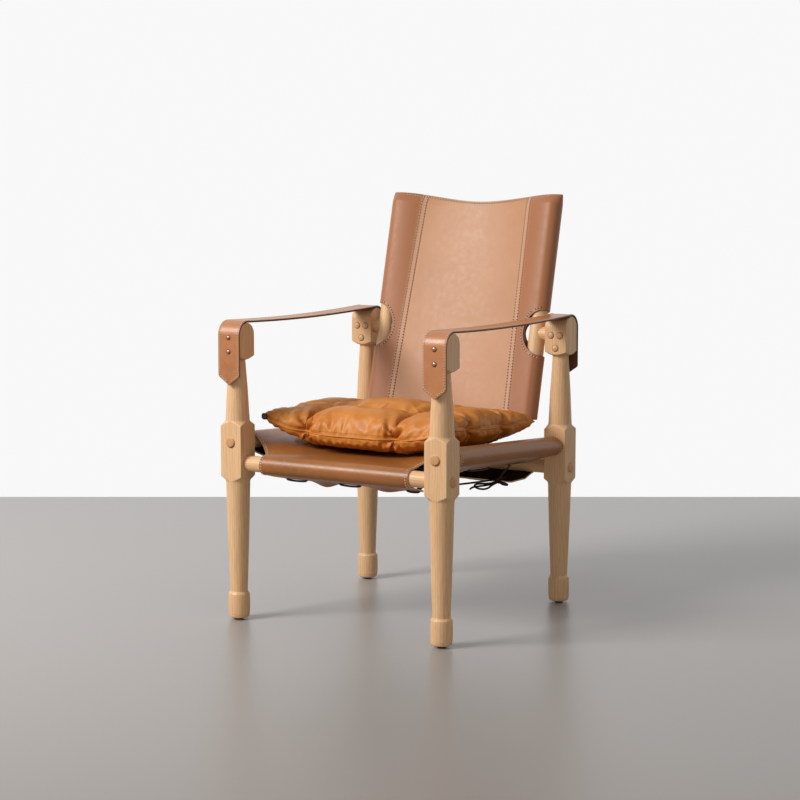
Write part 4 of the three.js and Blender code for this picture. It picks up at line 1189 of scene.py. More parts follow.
def smooth_line(points, steps=5):
    """A centripetal curve through the points."""
    padded = [points[0] * 2 - points[1], *points, points[-1] * 2 - points[-2]]
    made = []
    for a, b, c, d in zip(padded, padded[1:], padded[2:], padded[3:]):
        t1 = max((b - a).length, 1e-6) ** 0.5
        t2 = t1 + max((c - b).length, 1e-6) ** 0.5
        t3 = t2 + max((d - c).length, 1e-6) ** 0.5
        for step in range(steps):
            t = t1 + (t2 - t1) * step / steps
            ab = a * ((t1 - t) / t1) + b * (t / t1)
            bc = b * ((t2 - t) / (t2 - t1)) + c * ((t - t1) / (t2 - t1))
            cd = c * ((t3 - t) / (t3 - t2)) + d * ((t - t2) / (t3 - t2))
            abc = ab * ((t2 - t) / t2) + bc * (t / t2)
            bcd = bc * ((t3 - t) / (t3 - t1)) + cd * ((t - t1) / (t3 - t1))
            made.append(abc * ((t2 - t) / (t2 - t1)) + bcd * ((t - t1) / (t2 - t1)))
    made.append(points[-1])
    return made


def knot_line(centre, size):
    """A small overhand knot."""
    made = []
    steps = 47
    for i in range(steps + 1):
        t = 2 * math.pi * i / steps
        made.append(centre + Vector((
            size * 0.36 * (math.sin(t) + 2 * math.sin(2 * t)),
            size * 0.36 * (math.cos(t) - 2 * math.cos(2 * t)),
            -size * 0.45 * math.sin(3 * t),
        )))
    return made


# Loops and tails of the bow, in millimetres from its knot
BOW_LINES = [
    [(-3, -3, -2), (-12, -15, -3), (-18, -30, -2), (-21, -46, -1), (-18, -60, -2), (-6, -69, -5),
     (7, -67, -6), (10, -54, -5), (7, -36, -3), (3, -4, -1)],
    [(3, 2, 0), (10, -6, -1), (18, -10, -3), (24, -4, -5), (20, 6, -5), (10, 8, -3), (1, 4, 0)],
    [(0, -3, -2), (-9, -22, -5), (-16, -45, -5), (-20, -64, -5), (-17, -79, -6)],
]


def first_knot(route, advance):
    """Hangs just before the lace's first hole."""
    return route[0] - advance * 2 * KNOT + Vector((0, 0, -KNOT))


def cross_lace_lines():
    """Starts in a knot and ends in the bow."""
    advance = Vector((0, 1, 0))
    route = lace_route([cross_holes(y) for y in CROSS_LACE_Y], advance)
    start = first_knot(route, advance)
    drop = [route[-1].lerp(BOW, t) for t in (0.35, 0.7, 1)]
    lines = [smooth_line([start, *route, *drop]), knot_line(start, KNOT), knot_line(BOW, BOW_KNOT)]
    for loop in BOW_LINES:
        lines.append(smooth_line([BOW + Vector(p) * 0.001 for p in loop], 6))
    return lines


def long_lace_lines():
    """Starts in a knot under the rear flap and ends in one on top of the front flap."""
    advance = Vector((1, 0, 0))
    route = lace_route([long_holes(x) for x in LONG_LACE_X], advance)
    start = first_knot(route, advance)
    last = Vector(long_holes(LONG_LACE_END_X)[1])
    heights = (-LACE_RADIUS, LACE_RADIUS, LACE_LIFT + LACE_RADIUS)
    ending = [last + Vector((0, 0, z)) for z in heights]
    ending.insert(0, last + Vector((-LACE_BEND, 0, -LACE_LIFT)))
    return [smooth_line([start, *route, *ending]), knot_line(start, KNOT),
            knot_line(ending[-1], KNOT)]


def add_laces(cord):
    laces = (("cross_seat_lace", cross_lace_lines()), ("long_seat_lace", long_lace_lines()))
    for name, lines in laces:
        placed = [[(point + Vector((0, MID_Y, 0)), (0, 0, 1)) for point in line] for line in lines]
        lace = cord.make(f"{name}_cord", placed, {"Radius": LACE_RADIUS})
        settle(lace, "frame", [name])


# Geometry Nodes trees for what repeats or follows a line
class Rows(Nodes):
    """A tree that grows a piece from lines of points; its sizes are named inputs."""

    def __init__(self, name, sizes):
        super().__init__(bpy.data.node_groups.new(name, "GeometryNodeTree"))
        self.tree.interface.new_socket("Geometry", in_out="INPUT", socket_type="NodeSocketGeometry")
        self.tree.interface.new_socket("Geometry", in_out="OUTPUT", socket_type="NodeSocketGeometry")
        self.identifiers = {}
        for size, value in sizes.items():
            socket = self.tree.interface.new_socket(size, in_out="INPUT", socket_type="NodeSocketFloat")
            socket.default_value = value
            self.identifiers[size] = socket.identifier
        self.source = self.node("NodeGroupInput")

    def size(self, name, share=1.0):
        return self.math("MULTIPLY", self.source.outputs[name], share)

    def curve(self):
        return self.node("GeometryNodeMeshToCurve", {"Mesh": self.source.outputs[0]}).outputs[0]

    def triple(self, x, y, z):
        return self.node("ShaderNodeCombineXYZ", {"X": x, "Y": y, "Z": z}).outputs[0]

    def standing(self, secondary):
        """The turn that stands a shape on the surface under each point."""
        lift = self.node("GeometryNodeInputNamedAttribute", {"Name": "lift"}, data_type="FLOAT_VECTOR")
        turn = self.node("FunctionNodeAxesToRotation", primary_axis="Z", secondary_axis="X")
        self.put(turn.inputs[0], lift.outputs["Attribute"])
        self.put(turn.inputs[1], secondary)
        return turn.outputs[0]

    def marked(self, geometry):
        """Marks a shape's faces for the tree's second finish."""
        inputs = {"Geometry": geometry, "Name": "second", "Value": True}
        return self.node("GeometryNodeStoreNamedAttribute", inputs, data_type="BOOLEAN",
                         domain="FACE").outputs[0]

    def repeated(self, points, shape, turn, scale, slide):
        """The shape on each point, slid along itself by a share of its own size."""
        inputs = {"Points": points, "Instance": shape, "Rotation": turn, "Scale": scale}
        placed = self.node("GeometryNodeInstanceOnPoints", inputs).outputs[0]
        inputs = {"Instances": placed, "Translation": slide, "Local Space": True}
        return self.node("GeometryNodeTranslateInstances", inputs).outputs[0]

    def end(self, parts, first, second=None):
        """Joins the parts into one real mesh with its finish, or with two."""
        joined = self.node("GeometryNodeJoinGeometry")
        for part in parts:
            self.put(joined.inputs[0], part)
        real = self.node("GeometryNodeRealizeInstances", {"Geometry": joined.outputs[0]}).outputs[0]
        smooth = self.node("GeometryNodeSetShadeSmooth", {"Geometry": real}).outputs[0]
        made = self.node("GeometryNodeSetMaterial", {"Geometry": smooth, "Material": first}).outputs[0]
        if second is not None:
            chosen = self.node("GeometryNodeInputNamedAttribute", {"Name": "second"},
                               data_type="BOOLEAN")
            inputs = {"Geometry": made, "Selection": chosen.outputs["Attribute"], "Material": second}
            made = self.node("GeometryNodeSetMaterial", inputs).outputs[0]
        self.node("NodeGroupOutput", {"Geometry": made})

    def make(self, name, lines, sizes):
        """A plain mesh grown from lines of (point, surface normal); a line may close on itself."""
        points = []
        edges = []
        lifts = []
        for line in lines:
            first = len(points)
            closed = len(line) > 2 and (Vector(line[0][0]) - Vector(line[-1][0])).length < 1e-5
            for point, lift in line[:-1] if closed else line:
                points.append(tuple(point))
                lifts += list(Vector(lift).normalized())
            edges += [(i, i + 1) for i in range(first, len(points) - 1)]
            if closed:
                edges.append((len(points) - 1, first))
        mesh = bpy.data.meshes.new(name)
        mesh.from_pydata(points, edges, [])
        mesh.attributes.new("lift", "FLOAT_VECTOR", "POINT").data.foreach_set("vector", lifts)
        piece = linked(name, mesh)
        rows = piece.modifiers.new("rows", "NODES")
        rows.node_group = self.tree
        for size, value in sizes.items():
            rows[self.identifiers[size]] = value
        make_plain(piece)
        for used in ("lift", "second"):
            if used in piece.data.attributes:
                piece.data.attributes.remove(piece.data.attributes[used])
        return point_outward(piece)


def stitch_rows(name, thread, shade):
    """A row of holes, each a small dark disc of painted shade, with a thread from each to the next."""
    rows = Rows(name, BACK_STITCH)
    curve = rows.curve()
    spaced = rows.node("GeometryNodeResampleCurve", mode="LENGTH")
    rows.put(spaced.inputs["Curve"], curve)
    rows.put(spaced.inputs["Length"], rows.size("Pitch"))
    turn = rows.standing(rows.node("GeometryNodeInputTangent").outputs[0])
    bead = rows.node("GeometryNodeMeshUVSphere", {"Segments": 8, "Rings": 6, "Radius": 0.5}).outputs[0]
    bead_size = rows.triple(rows.size("Pitch", THREAD_SHARE), rows.size("Thread Width"),
                            rows.size("Thread Width", THREAD_HEIGHT))
    half_way = rows.triple(0.5 / THREAD_SHARE, 0, 0)  # in lengths of a bead
    threads = rows.repeated(spaced.outputs[0], bead, turn, bead_size, half_way)
    disc = rows.node("GeometryNodeMeshCylinder", {"Vertices": 10, "Radius": 0.5, "Depth": 1.0})
    wide = rows.size("Hole Width")
    disc_size = rows.triple(wide, wide, rows.size("Hole Width", HOLE_HEIGHT))
    still = rows.triple(0, 0, 0)
    holes = rows.repeated(spaced.outputs[0], rows.marked(disc.outputs[0]), turn, disc_size, still)
    rows.end([threads, holes], thread, shade)
    return rows


def dome_rows(name, head, shade):
    """A domed head on each point, with a thin dark collar of painted shade where it meets the surface.
    """
    rows = Rows(name, STUD)
    points = rows.source.outputs[0]
    turn = rows.standing((1.0, 0.0, 0.0))
    still = rows.triple(0, 0, 0)
    ball = rows.node("GeometryNodeMeshUVSphere", {"Segments": 28, "Rings": 14, "Radius": 1.0})
    ball_size = rows.triple(rows.size("Radius"), rows.size("Radius"), rows.size("Height"))
    heads = rows.repeated(points, ball.outputs[0], turn, ball_size, still)
    disc = rows.node("GeometryNodeMeshCylinder", {"Vertices": 28, "Radius": 1.0, "Depth": 1.0})
    wide = rows.size("Collar Radius")
    disc_size = rows.triple(wide, wide, COLLAR_HEIGHT)
    collars = rows.repeated(points, rows.marked(disc.outputs[0]), turn, disc_size, still)
    rows.end([heads, collars], head, shade)
    return rows


def cord_rows(name, material):
    """A round cord along each line."""
    rows = Rows(name, {"Radius": LACE_RADIUS})
    curve = rows.curve()
    inputs = {"Resolution": 10, "Radius": rows.size("Radius")}
    ring = rows.node("GeometryNodeCurvePrimitiveCircle", inputs)
    inputs = {"Curve": curve, "Profile Curve": ring.outputs[0], "Fill Caps": True}
    rows.end([rows.node("GeometryNodeCurveToMesh", inputs).outputs[0]], material)
    return rows


def add_studs(metal, shade):
    """Two where each end of a strap hangs on a leg."""
    seat = BLANK_HALF + STRAP_LEATHER + 2 * FIT
    lines = []
    names = []
    for end, y, outward in (("front", FRONT_Y, -1), ("rear", REAR_Y, 1)):
        for side, sign in SIDES:
            for level in ("upper", "lower"):
                names.append(f"{end}_{side}_strap_stud_{level}")
                place = (sign * LEG_X, y + outward * seat, middle(names[-1]).z)
                lines.append([(place, (0, outward, 0))])
    studs = dome_rows("stud_row", metal, shade).make("strap_studs", lines, STUD)
    settle(studs, "frame", names)


def add_plugs(wood, shade):
    """Three on the front face of each rear leg's head."""
    lines = []
    names = []
    for side, _ in SIDES:
        for spot in ("left", "right", "lower"):
            names.append(f"rear_{side}_plug_{spot}")
            centre = middle(names[-1])
            lines.append([((centre.x, REAR_Y - BLANK_HALF, centre.z), (0, -1, 0))])
    plugs = dome_rows("plug_row", wood, shade).make("button_plugs", lines, PLUG)
    settle(plugs, "frame", names)


# Cushion
def pinch(position, across, starts, ends, width):
    """1 on the two lines that join the pinches of opposite sides, 0 away from them. starts holds
    their places where across is -1, ends where it is 1."""
    share = (across + 1) / 2
    nearest = min(abs(position - start - (end - start) * share) for start, end in zip(starts, ends))
    return math.exp(-(nearest / width) ** 2)


def valleys(a, b, width, spread=0.0):
    """How deep a place lies in the valleys from front to rear and from side to side."""
    lengthwise = pinch(a, b, FRONT_PINCHES, REAR_PINCHES, width + spread * (1 - abs(b)))
    crosswise = pinch(b, a, LEFT_PINCHES, RIGHT_PINCHES, width + spread * (1 - abs(a)))
    return lengthwise, crosswise


def cushion_place(a, b, side, crown=1.0):
    """The cover at shares a across and b along, on the top (1) or the belly (-1)."""
    lengthwise, crosswise = valleys(a, b, PINCH_WIDTH)
    x = a * (CUSHION_HALF_X - CUSHION_DRAW_IN * (1 - b ** 4) - CUSHION_PINCH * crosswise)
    y = b * (CUSHION_HALF_Y - CUSHION_DRAW_IN * (1 - a ** 4) - CUSHION_PINCH * lengthwise) + CUSHION_Y
    seam = CUSHION_FRONT_Z + (CUSHION_REAR_Z - CUSHION_FRONT_Z) * (b + 1) / 2
    seam -= (CUSHION_SADDLE + CUSHION_FRONT_SAG * (1 - b) / 2) * (1 - a ** 4)
    seam -= CUSHION_SIDE_DIP * a ** 4 * (1 - b * b)
    full = max(0.0, (1 - a * a) * (1 - b * b)) ** CUSHION_FULLNESS
    if side > 0:
        lengthwise, crosswise = valleys(a, b, VALLEY_WIDTH, VALLEY_SPREAD)
        outer = 1 - VALLEY_MIDDLE
        valley = max(lengthwise * (VALLEY_MIDDLE + outer * abs(b)),
                     crosswise * (VALLEY_MIDDLE + outer * abs(a)))
        return Vector((x, y, seam + CUSHION_CROWN * crown * full * (1 - CUSHION_VALLEY * valley)))
    return Vector((x, y, max(seam - CUSHION_BELLY * full, seat_rest(x, y))))


def seat_rest(x, y):
    """The lowest that the cushion may reach, just over the seat."""
    return float(seat_z(x, y - MID_Y)) + SEAT_LEATHER / 2 + CUSHION_CLEARANCE


def cushion_shares(count, half, places):
    """Shares from seam to seam, even along the cover and closer together at the pinches."""
    share = np.linspace(-1, 1, 8001)
    rise = CUSHION_CROWN * (1 - share ** 2) ** CUSHION_FULLNESS
    step = np.hypot(np.diff(share) * half, np.diff(rise))
    for place in places:
        away = (share[1:] + share[:-1]) / 2 - place
        step *= 1 + PINCH_CELLS * np.exp(-(away / PINCH_WIDTH) ** 2)
    run = np.concatenate([[0], np.cumsum(step)])
    return [float(s) for s in np.interp(np.linspace(0, run[-1], count + 1), run, share)]


def cushion_cover():
    """Top and belly share the seam round their edge; spots hold each point's shares and side."""
    cells_x, cells_y = CUSHION_CELLS
    across = cushion_shares(cells_x, CUSHION_HALF_X, FRONT_PINCHES)
    along = cushion_shares(cells_y, CUSHION_HALF_Y, RIGHT_PINCHES)
    points = []
    spots = []
    ids = {}
    for side in (1, -1):
        for j, b in enumerate(along):
            for i, a in enumerate(across):
                rim = i in (0, cells_x) or j in (0, cells_y)
                if side < 0 and rim:
                    ids[side, i, j] = ids[1, i, j]
                    continue
                ids[side, i, j] = len(points)
                points.append(cushion_place(a, b, side, CUSHION_SLACK))
                spots.append((a, b, 0 if rim else side))
    faces = []
    for side in (1, -1):
        for j in range(cells_y):
            for i in range(cells_x):
                quad = [ids[side, u, v] for u, v in ((i, j), (i + 1, j), (i + 1, j + 1), (i, j + 1))]
                faces.append(quad if side > 0 else quad[::-1])
    return points, faces, spots


def inflate(cover, spots):
    """Lets the cover swell between its seam and its valleys; a cap keeps it in its space."""
    start = point_array(cover)
    pins = cover.vertex_groups.new(name="pins")
    for index, (a, b, side) in enumerate(spots):
        held = HELD_AT_VALLEYS * max(valleys(a, b, HELD_WIDTH)) + (HELD_AT_BELLY if side < 0 else 0.0)
        pins.add([index], 1.0 if side == 0 else min(held, 1.0), "REPLACE")
    cloth = cover.modifiers.new("cloth", "CLOTH")
    for key, value in CLOTH.items():
        setattr(cloth.settings, key, value)
    cloth.settings.vertex_group_mass = pins.name
    cloth.settings.effector_weights.gravity = 0
    cloth.collision_settings.use_collision = False
    cloth.point_cache.frame_end = INFLATE_STEPS
    for step in range(1, INFLATE_STEPS + 1):
        scene.frame_set(step)
    make_plain(cover)
    scene.frame_set(1)
    move = point_array(cover) - start
    length = np.linalg.norm(move, axis=1, keepdims=True)
    move *= CUSHION_CAP * np.tanh(length / CUSHION_CAP) / np.maximum(length, 1e-9)
    move_points(cover, start + move)


def round_edge(side, t, edge=1.0):
    """The shares a and b on one of the four sides, at t from -1 to 1 along it."""
    return ((-edge, -t), (t, -edge), (edge, t), (-t, edge))[side]


def seam_line():
    """The seam all the way round, from the rear left corner."""
    line = []
    for side in range(4):
        for t in np.linspace(-1, 1, SEAM_STEPS // 4 + 1)[:-1]:
            a, b = round_edge(side, t)
            line.append(cushion_place(float(a), float(b), 1))
    return line + [line[0]]


def pinch_places():
    """Each pinch as its place on the seam and the seam's direction there."""
    for edge, places in ((-1, FRONT_PINCHES), (1, REAR_PINCHES)):
        for at in places:
            yield cushion_place(at, edge, 1), Vector((edge, 0, 0))
    for edge, places in ((-1, LEFT_PINCHES), (1, RIGHT_PINCHES)):
        for at in places:
            yield cushion_place(edge, at, 1), Vector((0, -edge, 0))


def gather(cover, seam):
    """Folds radial pleats into the cover at the pinches and small puckers along the seam."""
    points = point_array(cover)
    normals = np.array([tuple(v.normal) for v in cover.data.vertices])
    height = np.zeros(len(points))
    for place, direction in pinch_places():
        offset = points - np.array(place)
        reach = np.linalg.norm(offset, axis=1)
        aside = np.clip(offset @ np.array(direction) / np.maximum(reach, 1e-6), -1, 1)
        angle = np.degrees(np.arcsin(aside))
        share = np.clip(reach / PLEAT_START, 0, 1) * np.exp(-(reach / PLEAT_REACH) ** 2)
        for middle_angle, spread, fold in PLEATS:
            height += PLEAT_DEPTH * share * fold * np.exp(-((angle - middle_angle) / spread) ** 2)
    tree = KDTree(len(seam) - 1)
    for index, place in enumerate(seam[:-1]):
        tree.insert(place, index)
    tree.balance()
    nearest = [tree.find(point) for point in points]
    run = np.array([found[2] for found in nearest])
    step = sum((b - a).length for a, b in zip(seam, seam[1:])) / (len(seam) - 1)
    along = np.array([found[1] for found in nearest]) * step
    drift = 1.7 * np.sin(2 * np.pi * along / PUCKER_DRIFT)
    waves = np.sin(2 * np.pi * along / PUCKER_LENGTH + drift)
    waves *= 0.55 + 0.45 * np.sin(2 * np.pi * along / PUCKER_FADE + 0.6)
    height += PUCKER_HEIGHT * waves * np.exp(-((run - PUCKER_PLACE) / PUCKER_WIDTH) ** 2)
    height *= np.clip(run / SEAM_STILL, 0, 1)
    moved = points + normals * height[:, None]
    for index, (x, y, z) in enumerate(moved):
        moved[index, 2] = max(z, seat_rest(x, y))
    move_points(cover, moved)
    store(cover, "seam_run", run)


def topstitch_line(cover):
    """On the top, a short way from the seam; found on the cover's finished surface."""
    surface = BVHTree.FromPolygons([v.co for v in cover.data.vertices],
                                   [tuple(face.vertices) for face in cover.data.polygons])
    line = []
    for side in range(4):
        for t in np.linspace(-0.985, 0.985, 180):
            rim = cushion_place(*round_edge(side, t), 1)
            low, high = 0.0, 0.08
            for _ in range(14):  # halves the range until the spot lies TOPSTITCH_RUN from the seam
                inset = (low + high) / 2
                spot = cushion_place(*round_edge(side, t, 1 - inset), 1)
                low, high = (inset, high) if (spot - rim).length < TOPSTITCH_RUN else (low, inset)
            place, normal, _, _ = surface.find_nearest(spot)
            line.append((place, normal))
    return line + [line[0]]


def add_cushion(material, cord, stitches):
    """The cover, the welt on its seam and the topstitched row beside it."""
    points, faces, spots = cushion_cover()
    cover = new_object("cushion_cover", points, faces, [material])
    inflate(cover, spots)
    rim = {index for index, spot in enumerate(spots) if spot[2] == 0}
    creases = [1.0 if set(edge.vertices) <= rim else 0.0 for edge in cover.data.edges]
    store(cover, "crease_edge", creases, "EDGE")
    modifier(cover, "SUBSURF", levels=1, render_levels=1)
    make_plain(cover)
    seam = seam_line()
    gather(cover, seam)
    settle(cover, "frame", ["seat_cushion"])
    line = [(place, (0, 0, 1)) for place in seam[::6]]
    welt = cord.make("cushion_welt", [line], {"Radius": WELT_RADIUS})
    settle(welt, "frame", [])
    row = stitches.make("cushion_topstitch", [topstitch_line(cover)], CUSHION_STITCH)
    settle(row, "frame", [])


def squared(value):
    """Turns a circle's sine or cosine into that of a rounded square."""
    return math.copysign(abs(value) ** 0.75, value)


def add_tab(leathers):
    """A folded loop of leather, seen from its side: a thick rim round a sunk middle, painted a reddish
    brown that stands for the shade inside the loop.
    """
    low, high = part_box("cushion_corner_tab")
    centre = (low + high) / 2
    half = (high - low) / 2
    rings = [
        (0.10, TAB_RIM),
        (0.50, TAB_RIM),
        (0.60, 0.0004),
        (0.74, 0.0),
        (0.90, 0.0003),
        (1.0, TAB_RIM),
        (1.0, TAB_THICK - TAB_RIM),
        (0.90, TAB_THICK - 0.0002),
        (0.10, TAB_THICK),
    ]
    points = []
    segments = 40
    for share, depth in rings:
        for s in range(segments):
            angle = 2 * math.pi * s / segments
            points.append((centre.x + half.x * share * squared(math.cos(angle)), low.y + depth,
                           centre.z + half.z * share * squared(math.sin(angle))))
    faces = tube_faces(len(rings), segments)
    # The sunk middle takes the second finish: painted shade for the inside of the loop
    bands = [1, 1] + [0] * (len(rings) - 3)  # the front's middle shows the second leather
    slots = [slot for slot in bands for _ in range(segments)] + [1, 0]
    tab = point_outward(new_object("cushion_corner_tab_leather", points, faces, leathers, slots))
    settle(tab, "frame", ["cushion_corner_tab"])


# Stitched lines
def back_surface(x, h, side):
    """A point on the back's front (-1) or rear (1) face with its normal."""
    layers = 0.5 if side < 0 else RETURN_STEP + 0.5
    depth = back_panel(x, h) + side * (BACK_LEATHER * layers + STITCH_LIFT)
    slope = (back_panel(x + 0.001, h) - back_panel(x - 0.001, h)) / 0.002
    normal = Vector((-slope, 1, 0)).normalized() * side
    return BACK_TURN @ Vector((x, depth, back_rise(x, h))), BACK_TURN.to_3x3() @ normal


def back_rows():
    """Both rows of each seam and one along the top edge, on both faces."""
    rows = []
    heights = np.linspace(BACK_LOW + 0.004, BACK_HIGH - 0.005, 110)
    for _, sign in SIDES:
        for away in (-SEAM_HALF, SEAM_HALF):
            for face in (-1, 1):
                rows.append([back_surface(sign * (back_seam(h) + away), h, face) for h in heights])
    top = BACK_HIGH - TOP_ROW_INSET
    for face in (-1, 1):
        rows.append([back_surface(x, top, face) for x in np.linspace(-0.168, 0.168, 120)])
    return rows


def arm_hole_rows():
    """Round each arm hole, on the flat leather and on the pocket's tube."""
    rows = []
    radius = ARM_HOLE_RADIUS + HOLE_ROW_INSET
    outer = POCKET_RADIUS + BACK_LEATHER / 2
    for _, sign in SIDES:
        row = []
        for angle in np.radians(np.linspace(104, 256, 90)):
            x = ARM_HOLE_X + radius * math.cos(angle)
            h = radius * math.sin(angle)
            if x < POST_X - 0.010:
                row.append(back_surface(sign * x, h, -1))
                continue
            across = x - POST_X
            depth = -math.sqrt(max(outer ** 2 - across ** 2, 1e-9))
            normal = BACK_TURN.to_3x3() @ Vector((sign * across, depth, 0)).normalized()
            row.append((BACK_TURN @ Vector((sign * x, depth, h)), normal))
        rows.append(row)
    return rows


def strap_rows(sign):
    """Along both edges of a strap and down its points, on the outer face."""
    rows = []
    for edge in (-1, 1):
        row = []
        for y, z, out_y, out_z in strap_stations(STRAP_LEATHER):
            width = strap_half_width(z, out_y != 0)
            slant = STITCH_INSET if z > STRAP_CORNER_Z else STITCH_INSET * POINT_INSET
            if width > slant + STRAP_TIP_HALF:
                row.append(((sign * LEG_X + edge * (width - slant), y, z), (0, out_y, out_z)))
        rows.append(row)
    return rows


def seat_face(x, y):
    """A point on the top of the seat with its normal."""
    step = 0.001
    slope_x = float(seat_z(x + step, y) - seat_z(x - step, y)) / (2 * step)
    slope_y = float(seat_z(x, y + step) - seat_z(x, y - step)) / (2 * step)
    normal = Vector((-slope_x, -slope_y, 1)).normalized()
    return Vector((x, y + MID_Y, float(seat_z(x, y)))) + normal * SEAT_LEATHER / 2, normal


def cut_out_row(sign, end):
    """Just inside a cut-out's edge, then round the end of the front or rear sleeve."""
    length, roundness = FRONT_CUT if end < 0 else REAR_CUT
    edge = [Vector((LEG_X - CUT_X * cut_curve(share, roundness), LEG_Y - length * share, 0))
            for share in cut_shares(length, roundness)]
    row = []
    for behind, here, ahead in zip(edge, edge[1:], edge[2:]):
        along = (ahead - behind).normalized()
        inside = here - Vector((abs(along.y), abs(along.x), 0)) * STITCH_INSET
        row.append(seat_face(sign * inside.x, end * inside.y))
    x = sign * (seat_half_width(SEAT_END_Y) - STITCH_INSET)
    rail_z = FRONT_RAIL_Z if end < 0 else REAR_RAIL_Z
    for out, up in wrap_turns(CROSS_TOUCH):
        lift = Vector((0, end * out, up)).normalized()
        place = Vector((x, end * (LEG_Y + out) + MID_Y, rail_z + up))
        row.append((place + lift * SEAT_LEATHER / 2, lift))
    return row


def side_sleeve_row(sign, y):
    """Round the end of a side sleeve."""
    row = []
    for out, up in wrap_turns(SIDE_TOUCH):
        lift = Vector((sign * out, 0, up)).normalized()
        place = Vector((sign * (LEG_X + out), y + MID_Y, side_rail_z(y) + up))
        row.append((place + lift * SEAT_LEATHER / 2, lift))
    return row


def seat_rows():
    rows = []
    for sign in (-1, 1):
        rows += [cut_out_row(sign, -1), cut_out_row(sign, 1)]
        rows.append(side_sleeve_row(sign, FRONT_SLEEVE_Y + STITCH_INSET))
        rows.append(side_sleeve_row(sign, REAR_SLEEVE_Y - STITCH_INSET))
    return rows


def add_stitching(stitches):
    back = stitches.make("back_stitching", back_rows() + arm_hole_rows(), BACK_STITCH)
    settle(back, "back", [])
    for side, sign in SIDES:
        strap = stitches.make(f"{side}_strap_stitching", strap_rows(sign), EDGE_STITCH)
        settle(strap, "frame", [])
    settle(stitches.make("seat_stitching", seat_rows(), EDGE_STITCH), "frame", [])


# Studio
def add_camera():
    data = bpy.data.cameras.new("camera")
    data.sensor_width = SENSOR_WIDTH
    data.lens = LENS
    camera = linked("camera", data)
    camera.location = CAMERA_PLACE
    look = Vector((-math.sin(CAMERA_TURN) * math.cos(CAMERA_PITCH),
                   math.cos(CAMERA_TURN) * math.cos(CAMERA_PITCH), -math.sin(CAMERA_PITCH)))
    camera.rotation_euler = look.to_track_quat("-Z", "Y").to_euler()
    scene.camera = camera


def add_area_light(name, place, size, power):
    data = bpy.data.lights.new(name, "AREA")
    data.size = size
    data.energy = power
    light = linked(name, data)
    light.location = place
    light.rotation_euler = (LAMP_TARGET - Vector(place)).to_track_quat("-Z", "Y").to_euler()


def add_floor():
    """A floor that ends behind the chair, its grey darker towards the front as painted shade, before
    the bright surround.
    """
    finish = Finish("studio_floor")
    place = finish.place(rotation=(0, 0, -CAMERA_TURN))
    away = finish.node("ShaderNodeSeparateXYZ", {"Vector": place}).outputs["Y"]
    share = finish.remap(away, *FLOOR_SHADES)
    # Painted shade: the floor's grey darkens towards the camera
    finish.set(Base_Color=finish.mix(share, colour("#8b837c"), colour("#b8b4b1")), Roughness=0.36)
    turn = Matrix.Rotation(CAMERA_TURN, 3, "Z")
    far = (turn.inverted() @ CAMERA_PLACE).y + FLOOR_REACH
    corners = ((-FLOOR_HALF, -FLOOR_HALF, 0), (FLOOR_HALF, -FLOOR_HALF, 0), (FLOOR_HALF, far, 0),
               (-FLOOR_HALF, far, 0))
    floor = new_object("floor", [turn @ Vector(corner) for corner in corners], [(0, 1, 2, 3)],
                       [finish.material])


def add_surround():
    """Soft light from all round; cameras and reflections see a near white backdrop."""
    world = bpy.data.worlds.new("studio")
    scene.world = world
    world.use_nodes = True
    nodes = Nodes(world.node_tree)
    path = nodes.node("ShaderNodeLightPath")
    seen = nodes.math("MULTIPLY_ADD", path.outputs["Is Camera Ray"], BACKDROP - AMBIENT, AMBIENT)
    strength = nodes.math("MULTIPLY_ADD", path.outputs["Is Glossy Ray"], 1.0 - AMBIENT, seen)
    background = world.node_tree.nodes["Background"]
    background.inputs["Color"].default_value = (1, 1, 1, 1)
    nodes.put(background.inputs["Strength"], strength)


add_camera()
add_floor()
add_surround()
add_area_light("key", (-1.75, -2.75, 2.6), size=1.5, power=140)
add_area_light("fill", (2.8, -2.2, 1.8), size=2.4, power=6)

burnished = leather("burnished_edge", "#4a2a1c", "#33190f", "#5d3a28", roughness=(0.4, 0.55),
                    grain=0.2, mottling=0.3)
cream_edge = leather("cream_edge", "#dfbd9b", "#cfa782", "#ebd0b2", roughness=(0.5, 0.6),
                     grain=0.3, mottling=0.4)
strap_leather = leather("strap_leather", "#ba794c", "#a96a3c", "#c68c60", roughness=(0.30, 0.42),
                        grain=0.5, mottling=0.4, sheen=0.5)
# The strap's rounded top edges are a little lighter: a painted highlight
strap_rim = leather("strap_rim", "#c08456", "#b27546", "#ca9468", roughness=(0.35, 0.45),
                    grain=0.3, mottling=0.4)
strap_flesh = leather("strap_flesh", "#6b4630", "#55331f", "#7d5740", roughness=(0.7, 0.85),
                      grain=0.8, mottling=0.5)
# The strip tint is painted shade on the pockets beside the posts; the band tint is a painted highlight
# between each seam's rows
back_leather = leather("back_leather", "#c18c64", "#ba855d", "#c7946e", roughness=(0.38, 0.50),
                       grain=0.35, mottling=0.35, tints=[("strip_shade", "#a66c46"), ("band", "#c79470")])
seat_leather = leather("seat_leather", "#a0632f", "#905725", "#ae733b", roughness=(0.30, 0.42),
                       grain=0.4, mottling=0.4, sheen=0.42)
# The seat's flesh side and the walls of its lace holes are darkened near black: painted shade for the
# deep shadow under the seat
seat_flesh = leather("seat_flesh", "#3b241a", "#2a1810", "#4a3023", roughness=(0.7, 0.9),
                     grain=0.8, mottling=0.5, sheen=0.15)
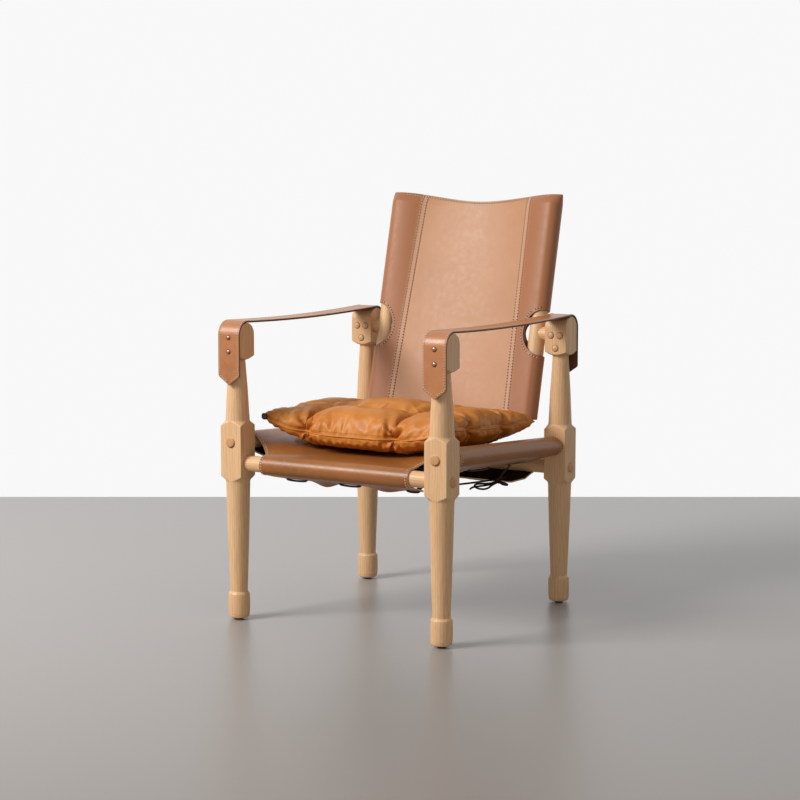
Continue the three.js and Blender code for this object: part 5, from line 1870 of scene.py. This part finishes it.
cushion_leather = leather("cushion_leather", "#d58836", "#c27328", "#e39d4c",
                          roughness=(0.38, 0.52), grain=0.6, mottling=0.4,
                          groove=("seam_run", TOPSTITCH_RUN))
lace_leather = leather("lace_leather", "#3a2419", "#2a170f", "#4b3023", roughness=(0.5, 0.65),
                       grain=0.6, mottling=0.4)
tab_middle = leather("tab_middle", "#7a4a30", "#5f3521", "#8c5a3d", roughness=(0.6, 0.75),
                     grain=0.5, mottling=0.4)
end_grain = ash("ash_end_grain", (0.03, 0.04, 0.1), darker=0.65)
plug_wood = ash("ash_plugs", (0.02, 0.03, 0.1), (math.radians(90), 0, 0), ring=0.0035, darker=0.25)
steel = fitting("zinc_steel", "#b9b9b7", 0.34, metallic=1.0)
brass = fitting("aged_brass", "#b07a48", 0.36, metallic=1.0)
copper = fitting("copper_stud", "#c39478", 0.34, metallic=1.0)
nylon = fitting("black_nylon", "#1f1d1c", 0.55)
cream_thread = fitting("cream_thread", "#f4e3cb", 0.75, scratch=0.4, scale=2500.0)
tan_thread = fitting("tan_thread", "#c98a4c", 0.7, scratch=0.4, scale=2500.0)
stitch_hole = fitting("stitch_hole", "#55311f", 0.85, scratch=0.1)
fitting_shade = fitting("fitting_shade", "#3d2416", 0.8, scratch=0.1)

add_legs()
add_glides(nylon)
add_rails(end_grain)
add_posts()
add_bolts(steel)
for insert in ("left_pivot_insert", "right_pivot_insert"):
    frame["nodes"][insert].data.materials.clear()
    frame["nodes"][insert].data.materials.append(brass)
for strap_side, strap_sign in SIDES:
    add_strap(strap_side, strap_sign, [strap_leather, strap_rim, burnished, strap_flesh])
add_studs(copper, fitting_shade)
add_plugs(plug_wood, fitting_shade)
add_back([back_leather, burnished])
add_seat([seat_leather, seat_flesh, cream_edge])
add_laces(cord_rows("lace_cord", lace_leather))
add_cushion(cushion_leather, cord_rows("welt_cord", cushion_leather),
            stitch_rows("cushion_stitches", tan_thread, stitch_hole))
add_tab([lace_leather, tab_middle])
add_stitching(stitch_rows("leather_stitches", cream_thread, stitch_hole))

scene.view_settings.view_transform = "Standard"
